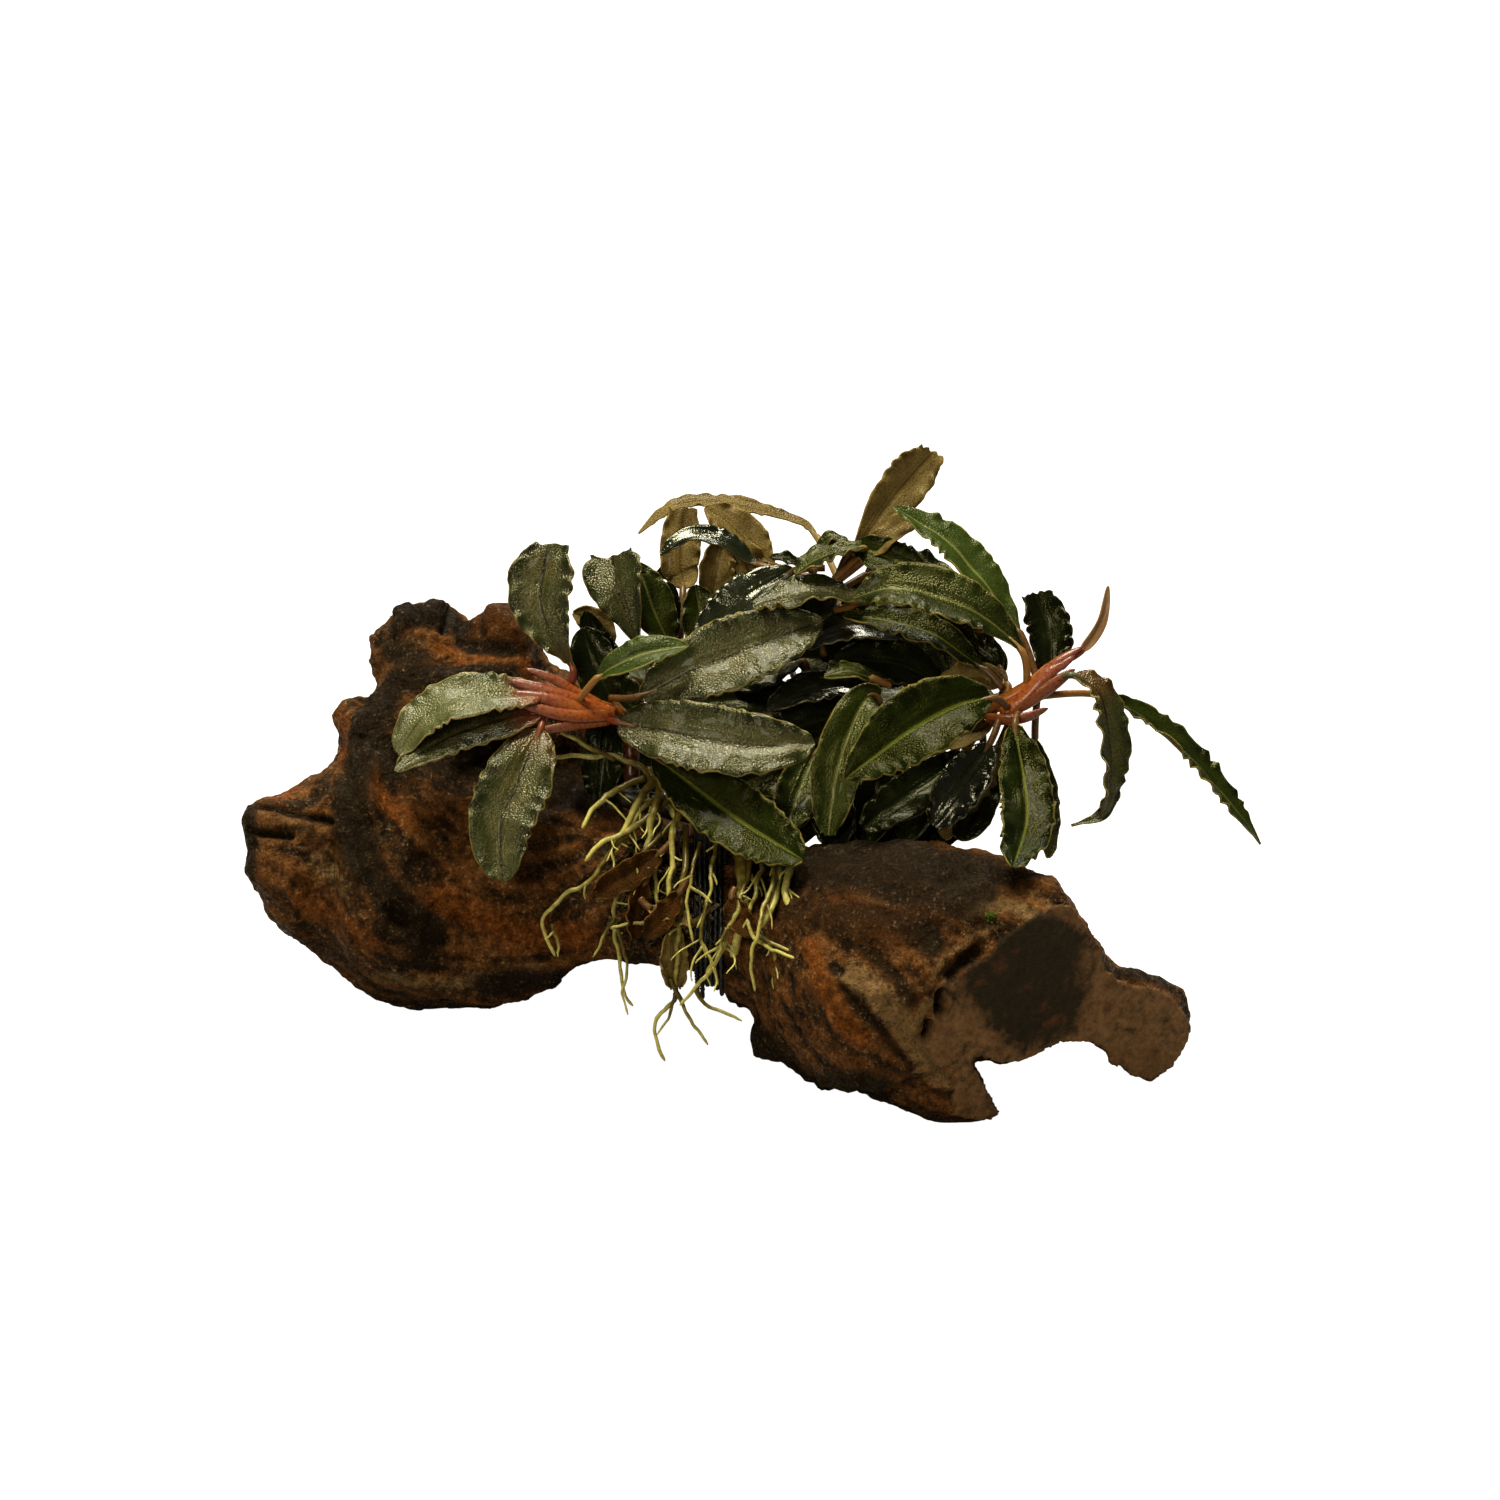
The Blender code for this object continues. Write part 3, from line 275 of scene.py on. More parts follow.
def sawn_wood(wood, place, masks, blotch, crumb):
    """Sawn end grain without grit: tan, with red-brown blotches and a nearly black heart."""
    cloud = add(wood, "TexNoise", {}, {
        "Vector": place, "Scale": cells(5), "Detail": 6.0, "Roughness": 0.7,
    }, "Fac")
    sawn = add(wood, "Mix", COLOURS, {
        0: add(wood, "MapRange", {}, {"Value": cloud, "From Min": 0.3, "From Max": 0.7}),
        6: colour("#62432a"), 7: colour("#b4865a"),
    }, 2)
    heart = add(wood, "MapRange", SOFT_STEP, {
        "Value": add(wood, "Math", TIMES_PLUS, {0: cloud, 1: 2.2, 2: masks["heart"]}),
        "From Min": 1.0, "From Max": 1.6,
    })
    sawn = add(wood, "Mix", COLOURS, {0: heart, 6: sawn, 7: colour("#2c251a")}, 2)
    # painted light and shade: the sawn face is lighter on the tops of its crumbs and darker between them
    sawn = add(wood, "VectorMath", SCALED, {
        0: sawn,
        "Scale": add(wood, "MapRange", {}, {
            "Value": crumb, "From Min": 0.3, "From Max": 0.7, "To Min": 0.55, "To Max": 1.5,
        }),
    })
    blush = add(wood, "MapRange", SOFT_STEP, {
        "Value": blotch, "From Min": 0.56, "From Max": 0.72, "To Max": 0.6,
    })
    return add(wood, "Mix", COLOURS, {0: blush, 6: sawn, 7: colour("#7c4630")}, 2)


def wet_driftwood():
    """Waterlogged driftwood with its bark rubbed off: red-brown and nearly black, with
    worn tan streaks, and a wet skin that breaks into sparkling specks. Painted shade
    darkens its crease, hollows, pits and undersides and where the leaves shade it, painted
    light brightens the dish where it faces up, and the crumbs carry painted light and shade;
    the light specks are painted glints."""
    wood = new_material("wet driftwood", {
        "IOR": 1.45, "Specular IOR Level": 0.32, "Specular Tint": colour("#f4d0a0"),
    })
    place = add(wood, "TexCoord", {}, {}, "Object")
    masks = {
        name: add(wood, "Attribute", {"attribute_name": name}, {}, "Fac")
        for name in ("grain", "dark", "warm", "pale", "cut", "heart")
    }
    # blotches 6 mm wide, crumbs 1.6 mm and fibres 0.6 mm
    blotch = add(wood, "TexNoise", {}, {
        "Vector": place, "Scale": cells(6), "Detail": 6.0, "Roughness": 0.65,
    }, "Fac")
    crumb = add(wood, "TexNoise", {}, {
        "Vector": place, "Scale": cells(1.6), "Detail": 5.0, "Roughness": 0.7,
    }, "Fac")
    fibre = add(wood, "TexNoise", {}, {
        "Vector": place, "Scale": cells(0.6), "Detail": 3.0, "Roughness": 0.7,
    }, "Fac")

    # brown streaks on dark wood, which follow the grain
    streak = add(wood, "Math", TIMES_PLUS, {0: blotch, 1: 0.6, 2: crumb})
    streak = add(wood, "Math", TIMES_PLUS, {0: masks["grain"], 1: 1.5, 2: streak})
    brown = add(wood, "MapRange", SOFT_STEP, {"Value": streak, "From Min": 1.1, "From Max": 2.1})
    shade = add(wood, "Mix", COLOURS, {0: brown, 6: colour("#1a0c04"), 7: colour("#764820")}, 2)
    # rust, tan and black marks with crumbled edges: where each begins, and how much it covers.
    # The black marks hold painted shade as well as the wood's own black
    ragged = add(wood, "Math", TIMES_PLUS, {0: crumb, 1: 0.9, 2: -0.45})
    for name, code, edge, most in (
        ("warm", "#8a480e", 0.35, 0.65),
        ("pale", "#8e6e46", 0.35, 0.85),
        ("dark", "#0c0603", 0.2, 0.97),
    ):
        amount = add(wood, "Math", PLUS, {0: masks[name], 1: ragged})
        mask = add(wood, "MapRange", SOFT_STEP, {
            "Value": amount, "From Min": edge - 0.15, "From Max": edge + 0.55, "To Max": most,
        })
        shade = add(wood, "Mix", COLOURS, {0: mask, 6: shade, 7: colour(code)}, 2)

    # painted glints: light specks that stand in for sparkles where grit catches the light, fewer
    # on the black marks and the painted shade, and dark pits of painted shade between the fibres
    painted_glint = add(wood, "MapRange", {}, {
        "Value": fibre, "From Min": 0.56, "From Max": 0.64, "To Max": 0.9,
    })
    for limit in (
        {"Value": crumb, "From Min": 0.44, "From Max": 0.62},
        {"Value": masks["dark"], "To Min": 1.0, "To Max": 0.3},
    ):
        painted_glint = add(wood, "Math", TIMES, {0: painted_glint, 1: add(wood, "MapRange", {}, limit)})
    shade = add(wood, "Mix", COLOURS, {0: painted_glint, 6: shade, 7: colour("#9a805e")}, 2)
    pit_shade = add(wood, "MapRange", {}, {
        "Value": fibre, "From Min": 0.44, "From Max": 0.34, "To Max": 0.7,
    })
    shade = add(wood, "Mix", COLOURS, {0: pit_shade, 6: shade, 7: colour("#0c0603")}, 2)

    # painted light and shade: crumbs and fibres are lighter on top and darker in between
    shade = add(wood, "VectorMath", SCALED, {
        0: shade,
        "Scale": add(wood, "MapRange", {}, {
            "Value": crumb, "From Min": 0.34, "From Max": 0.66, "To Min": 0.5, "To Max": 1.5,
        }),
    })

    sawn = sawn_wood(wood, place, masks, blotch, crumb)
    shade = add(wood, "Mix", COLOURS, {0: masks["cut"], 6: shade, 7: sawn}, 2)

    # wet fibres shine, the gaps between them and the sawn face are dull
    gloss = add(wood, "MapRange", {}, {
        "Value": fibre, "From Min": 0.42, "From Max": 0.62, "To Min": 0.85, "To Max": 0.18,
    })
    gloss = add(wood, "Mix", {}, {0: masks["cut"], 2: gloss, 3: 0.6})
    rough = add(wood, "Bump", {}, {"Strength": 1.0, "Distance": 0.8 * MM, "Height": crumb})
    rough = add(wood, "Bump", {}, {
        "Strength": 1.0, "Distance": 0.55 * MM, "Height": fibre, "Normal": rough,
    })
    dress(wood, Base_Color=shade, Roughness=gloss, Normal=rough)
    return wood


# A leaf's colours in its dimples, on its skin, in its sheen, at its margin and on its midrib,
# then its roughness, its film of water, the depth of its cells in mm, and the strength and
# tint of its glints. The dimple colour is also the darker tone of the skin, and in the seams
# between the cells it is painted shade; the sheen colour is a painted reflection.
Palette = namedtuple("Palette", "name deep middle sheen margin rib roughness wet grain shine glint")

PALETTES = [Palette(*row) for row in (
    ("olive", "#0a0f03", "#2a3406", "#3d4414", "#7d7034", "#5f6030", 0.27, 0.1, 0.13, 0.45, "#e4dc90"),
    # deep is olive darkened with painted shade, for leaves turned away from the light
    ("deep", "#070b02", "#1c2604", "#28300a", "#7d7034", "#5c6222", 0.28, 0.03, 0.13, 0.25, "#d8d078"),
    ("silver", "#0f1506", "#353b12", "#736a3c", "#8a793e", "#0a0d04", 0.23, 0.12, 0.15, 0.7, "#f2e8c0"),
    ("fresh", "#24330b", "#45531c", "#616a34", "#93893f", "#7c8040", 0.3, 0.05, 0.12, 0.4, "#f0eec0"),
    ("pale", "#353b17", "#5f6034", "#8f8b5c", "#a8925a", "#3a3a1c", 0.27, 0.12, 0.15, 0.7, "#f6f0d0"),
    # bronze is the brown of old leaves, made brighter with painted light where light shines through them
    ("bronze", "#4e3a14", "#8c7640", "#a08a54", "#94793a", "#5a4418", 0.4, 0.05, 0.12, 0.4, "#f0e0b0"),
    ("tan", "#7a5630", "#94704a", "#a58460", "#a07848", "#8a6240", 0.35, 0.1, 0.05, 0.5, "#ffffff"),
    ("gloss", "#070a03", "#1a2008", "#2c3016", "#4a431c", "#20240f", 0.17, 0.4, 0.06, 0.8, "#f4f2d8"),
    # night is a dark glossy skin, and its darkness is partly painted shade for leaves deep in the tuft
    ("night", "#070a03", "#171d05", "#22270d", "#3a3416", "#20240f", 0.22, 0.1, 0.08, 0.3, "#dcd8a0"),
    ("rotten", "#1e1004", "#4a2a0c", "#5e3a14", "#6b4a20", "#3a2208", 0.6, 0.0, 0.3, 0.2, "#d0b070"),
    ("under", "#3a2c10", "#6b5a2c", "#80703c", "#75652d", "#8a7a45", 0.5, 0.0, 0.12, 0.3, "#f0e0b0"),
)]


def leaf_surface(palette):
    """Waxy leaf skin: small raised cells under a wet film, with painted shade in the seams between
    the cells, a silvery sheen painted on between the midrib and the darker margin, and a thin
    straw-coloured rim."""
    skin = new_material("leaf " + palette.name, {
        "IOR": 1.5, "Coat Weight": palette.wet, "Coat Roughness": 0.1,
        "Specular Tint": colour(palette.glint), "Specular IOR Level": palette.shine,
    })
    place = add(skin, "TexCoord", {}, {}, "Object")
    blade = add(skin, "UVMap", {"uv_map": "blade"}, {})
    across, along = (add(skin, "SeparateXYZ", {}, {0: blade}, axis) for axis in (0, 1))
    silver = add(skin, "Attribute", {"attribute_name": "silver"}, {}, "Fac")
    # 0 at the midrib and 1 at the margin
    outward = add(skin, "Math", {"operation": "ABSOLUTE"}, {
        0: add(skin, "Math", TIMES_PLUS, {0: across, 1: 2.0, 2: -1.0}),
    })
    # cells of the skin, drawn 0.38 mm wide to show, and clouds 5 mm wide
    cell = add(skin, "TexVoronoi", {}, {"Vector": place, "Scale": cells(0.38)}, "Distance")
    cloud = add(skin, "TexNoise", {}, {
        "Vector": place, "Scale": cells(5), "Detail": 5.0, "Roughness": 0.6,
    }, "Fac")
    shade = add(skin, "Mix", COLOURS, {
        0: add(skin, "MapRange", SOFT_STEP, {"Value": cloud, "From Min": 0.3, "From Max": 0.68}),
        6: colour(palette.deep), 7: colour(palette.middle),
    }, 2)
    # painted sheen: silver patches that stand in for a reflection, which fade towards the margin
    inner = add(skin, "MapRange", SOFT_STEP, {
        "Value": outward, "From Min": 0.85, "From Max": 0.25,
    })
    painted_sheen = add(skin, "MapRange", SOFT_STEP, {"Value": cloud, "From Min": 0.66, "From Max": 0.36})
    painted_sheen = add(skin, "Math", TIMES, {0: painted_sheen, 1: inner})
    painted_sheen = add(skin, "Math", TIMES, {0: painted_sheen, 1: silver})
    shade = add(skin, "Mix", COLOURS, {
        0: add(skin, "Math", TIMES, {0: painted_sheen, 1: 0.6}),
        6: shade, 7: colour(palette.sheen),
    }, 2)
    # painted shade in the seams between the cells, and the line of the midrib
    seam_shade = add(skin, "MapRange", {}, {
        "Value": cell, "From Min": 0.35, "From Max": 0.75, "To Max": 0.5,
    })
    shade = add(skin, "Mix", COLOURS, {0: seam_shade, 6: shade, 7: colour(palette.deep)}, 2)
    rib = add(skin, "MapRange", SOFT_STEP, {
        "Value": outward, "From Min": 0.08, "From Max": 0.03, "To Max": 0.85,
    })
    shade = add(skin, "Mix", COLOURS, {0: rib, 6: shade, 7: colour(palette.rib)}, 2)
    # the foot of a young blade blushes red
    red = add(skin, "MapRange", SOFT_STEP, {
        "Value": along, "From Min": 0.24, "From Max": 0.02, "To Max": 0.85,
    })
    red = add(skin, "Math", TIMES, {
        0: red, 1: add(skin, "Attribute", {"attribute_name": "young"}, {}, "Fac"),
    })
    shade = add(skin, "Mix", COLOURS, {0: red, 6: shade, 7: colour("#8c3a24")}, 2)
    # the rim is worn through in places
    worn = add(skin, "TexNoise", {}, {"Vector": place, "Scale": cells(2.5), "Detail": 2.0}, "Fac")
    rim = add(skin, "MapRange", {}, {
        "Value": add(skin, "Math", TIMES_PLUS, {0: worn, 1: 0.16, 2: outward}),
        "From Min": 1.03, "From Max": 1.07, "To Max": 0.9,
    })
    shade = add(skin, "Mix", COLOURS, {0: rim, 6: shade, 7: colour(palette.margin)}, 2)
    gloss = add(skin, "MapRange", {}, {
        "Value": cloud, "From Min": 0.35, "From Max": 0.65,
        "To Min": palette.roughness - 0.06, "To Max": palette.roughness + 0.1,
    })
    # veins run beside the midrib, and stand out most near it and at the foot of the blade
    vein = add(skin, "Math", {"operation": "SINE"}, {
        0: add(skin, "Math", TIMES, {0: outward, 1: 30.0}),
    })
    for limit in (
        {"Value": outward, "From Min": 0.15, "From Max": 0.5, "To Min": 1.0, "To Max": 0.1},
        {"Value": along, "From Max": 0.7, "To Min": 1.0, "To Max": 0.2},
    ):
        vein = add(skin, "Math", TIMES, {0: vein, 1: add(skin, "MapRange", {}, limit)})
    relief = add(skin, "Bump", {"invert": True}, {
        "Strength": 0.8, "Distance": palette.grain * MM, "Height": cell,
    })
    relief = add(skin, "Bump", {}, {
        "Strength": 0.5, "Distance": 0.07 * MM, "Height": vein, "Normal": relief,
    })
    dress(skin, Base_Color=shade, Roughness=gloss, Normal=relief)
    return skin


def stem_skin(name, base, tip, streak, roughness, speckle=0.4):
    """Soft juicy stem or root: its colour changes along it, under fine darker or redder
    specks of scurf, and it shines as wet skin does."""
    skin = new_material(name, {
        "IOR": 1.42, "Roughness": roughness, "Coat Weight": 0.2, "Coat Roughness": 0.2,
    })
    place = add(skin, "TexCoord", {}, {}, "Object")
    along = add(skin, "Attribute", {"attribute_name": "along"}, {}, "Fac")
    # the change of colour is mottled, 1.6 mm wide, and the specks are 0.7 mm
    mottle = add(skin, "TexNoise", {}, {
        "Vector": place, "Scale": cells(1.6), "Detail": 3.0,
    }, "Fac")
    shift = add(skin, "Math", TIMES_PLUS, {0: mottle, 1: 0.7, 2: -0.35})
    amount = add(skin, "MapRange", SOFT_STEP, {
        "Value": add(skin, "Math", PLUS, {0: along, 1: shift}),
        "From Min": 0.2, "From Max": 1.05,
    })
    shade = add(skin, "Mix", COLOURS, {0: amount, 6: colour(base), 7: colour(tip)}, 2)
    spots = add(skin, "TexNoise", {}, {"Vector": place, "Scale": cells(0.7), "Detail": 2.0}, "Fac")
    shade = add(skin, "Mix", COLOURS, {
        0: add(skin, "MapRange", {}, {
            "Value": spots, "From Min": 0.45, "From Max": 0.7, "To Max": speckle,
        }),
        6: shade, 7: colour(streak),
    }, 2)
    relief = add(skin, "Bump", {}, {"Strength": 0.6, "Distance": 0.15 * MM, "Height": spots})
    dress(skin, Base_Color=shade, Normal=relief)
    return skin


def black_thread():
    """Waxed black sewing thread: nearly black, with a dull gloss on its plies and a fuzz
    of fibres, drawn 0.3 mm wide to show."""
    thread = new_material("waxed thread", {"Roughness": 0.38, "IOR": 1.5})
    place = add(thread, "TexCoord", {}, {}, "Object")
    fuzz = add(thread, "TexNoise", {}, {"Vector": place, "Scale": cells(0.3), "Detail": 3.0}, "Fac")
    shade = add(thread, "Mix", COLOURS, {0: fuzz, 6: colour("#040404"), 7: colour("#18191a")}, 2)
    relief = add(thread, "Bump", {}, {"Strength": 0.5, "Distance": 0.08 * MM, "Height": fuzz})
    dress(thread, Base_Color=shade, Normal=relief)
    return thread


SKINS = {palette.name: leaf_surface(palette) for palette in PALETTES}
# Colours at the foot, at the tip and of the specks, the roughness, and how dense the specks are
STALKS = {
    "red": stem_skin("young stalk", "#84341a", "#7a5434", "#9a2c1c", 0.32),
    "amber": stem_skin("old stalk", "#5f3a14", "#6b4e22", "#8a6536", 0.4),
    "straw": stem_skin("dry stalk", "#86692f", "#8d7640", "#a58c55", 0.45),
    "tan": stem_skin("tan stalk", "#9a6424", "#9c7a44", "#b08a50", 0.35),
    "green": stem_skin("green stalk", "#45421a", "#434c22", "#6c6a36", 0.36),
}
SHEATH = stem_skin("leaf sheath", "#9c541e", "#865644", "#841a10", 0.26, 0.85)
OLD_STEM = stem_skin("old creeping stem", "#160e06", "#2e2410", "#3f3516", 0.45)
# the young creeping stems are nearly black at the foot, as painted shade where they run under the
# leaves, and orange towards the tip
YOUNG_STEM = stem_skin("young creeping stem", "#1c1006", "#b8661c", "#8c3a14", 0.3)
ROOT = stem_skin("fleshy root", "#54480e", "#e6dc78", "#8c6414", 0.34)
DEBRIS = stem_skin("rotting plant litter", "#1a1006", "#4a3a12", "#5c5018", 0.7, 0.6)
MOSS = stem_skin("moss", "#2f5a10", "#5c8a14", "#7aa024", 0.5)


# Driftwood

WOOD_NODES = [
    "driftwood_left_limb", "driftwood_right_limb", "driftwood_right_stub", "driftwood_upper_knob",
]
WOOD_VOXEL = 0.72
# Where the solids part at the forks, as a point and the way across the gap, and how close
# to it a corner has to be to be drawn over to the other side
FORKS = [
    (Vector((3.0, 0.0, 0.0)), Vector((1.0, 0.0, 0.0))),
    (Vector((71.0, 0.0, 0.0)), Vector((1.0, 0.0, 0.0))),
    (Vector((-60.0, 21.0, 46.0)), Vector((0.0, 0.5, 0.866))),
]
FORK_REACH = 0.25
# The plane of the sawn face, how close to it and to the foot the wood is worn round, and
# by how many passes
CUT_POINT = Vector((43.0, -52.0, 0.0))
CUT_NORMAL = Vector((0.486, -1.0, 0.0)).normalized()
CUT_MARGIN = 0.8
FOOT_MARGIN = 0.6
WEAR_PASSES = 14

# Which way the grain runs: across and up the picture, and the degrees above the horizon
GRAIN = [
    (-98, 60, -8), (-90, 62, -6), (-84, 74, 38), (-90, 46, -42), (-82, 36, -45), (-70, 29, -24),
    (-80, 68, -72), (-77, 56, -68), (-72, 44, -58), (-64, 38, -24), (-56, 34, -8),
    (-70, 66, -66), (-62, 48, -40), (-50, 38, -4), (-40, 38, 14), (-31, 46, 40), (-48, 64, 4),
    (-68, 98, -12), (-54, 96, -4), (-76, 84, -80), (-30, 66, -20), (-20, 40, 6), (-6, 34, -30),
    (12, 50, -34), (26, 48, -30), (18, 32, -48), (32, 36, -50), (42, 48, -14), (44, 18, -58),
    (20, 14, -30), (36, 10, -24), (60, 42, -50), (75, 22, -12), (84, 20, -60),
]

Mark = namedtuple("Mark", "reach depth dark warm pale path")

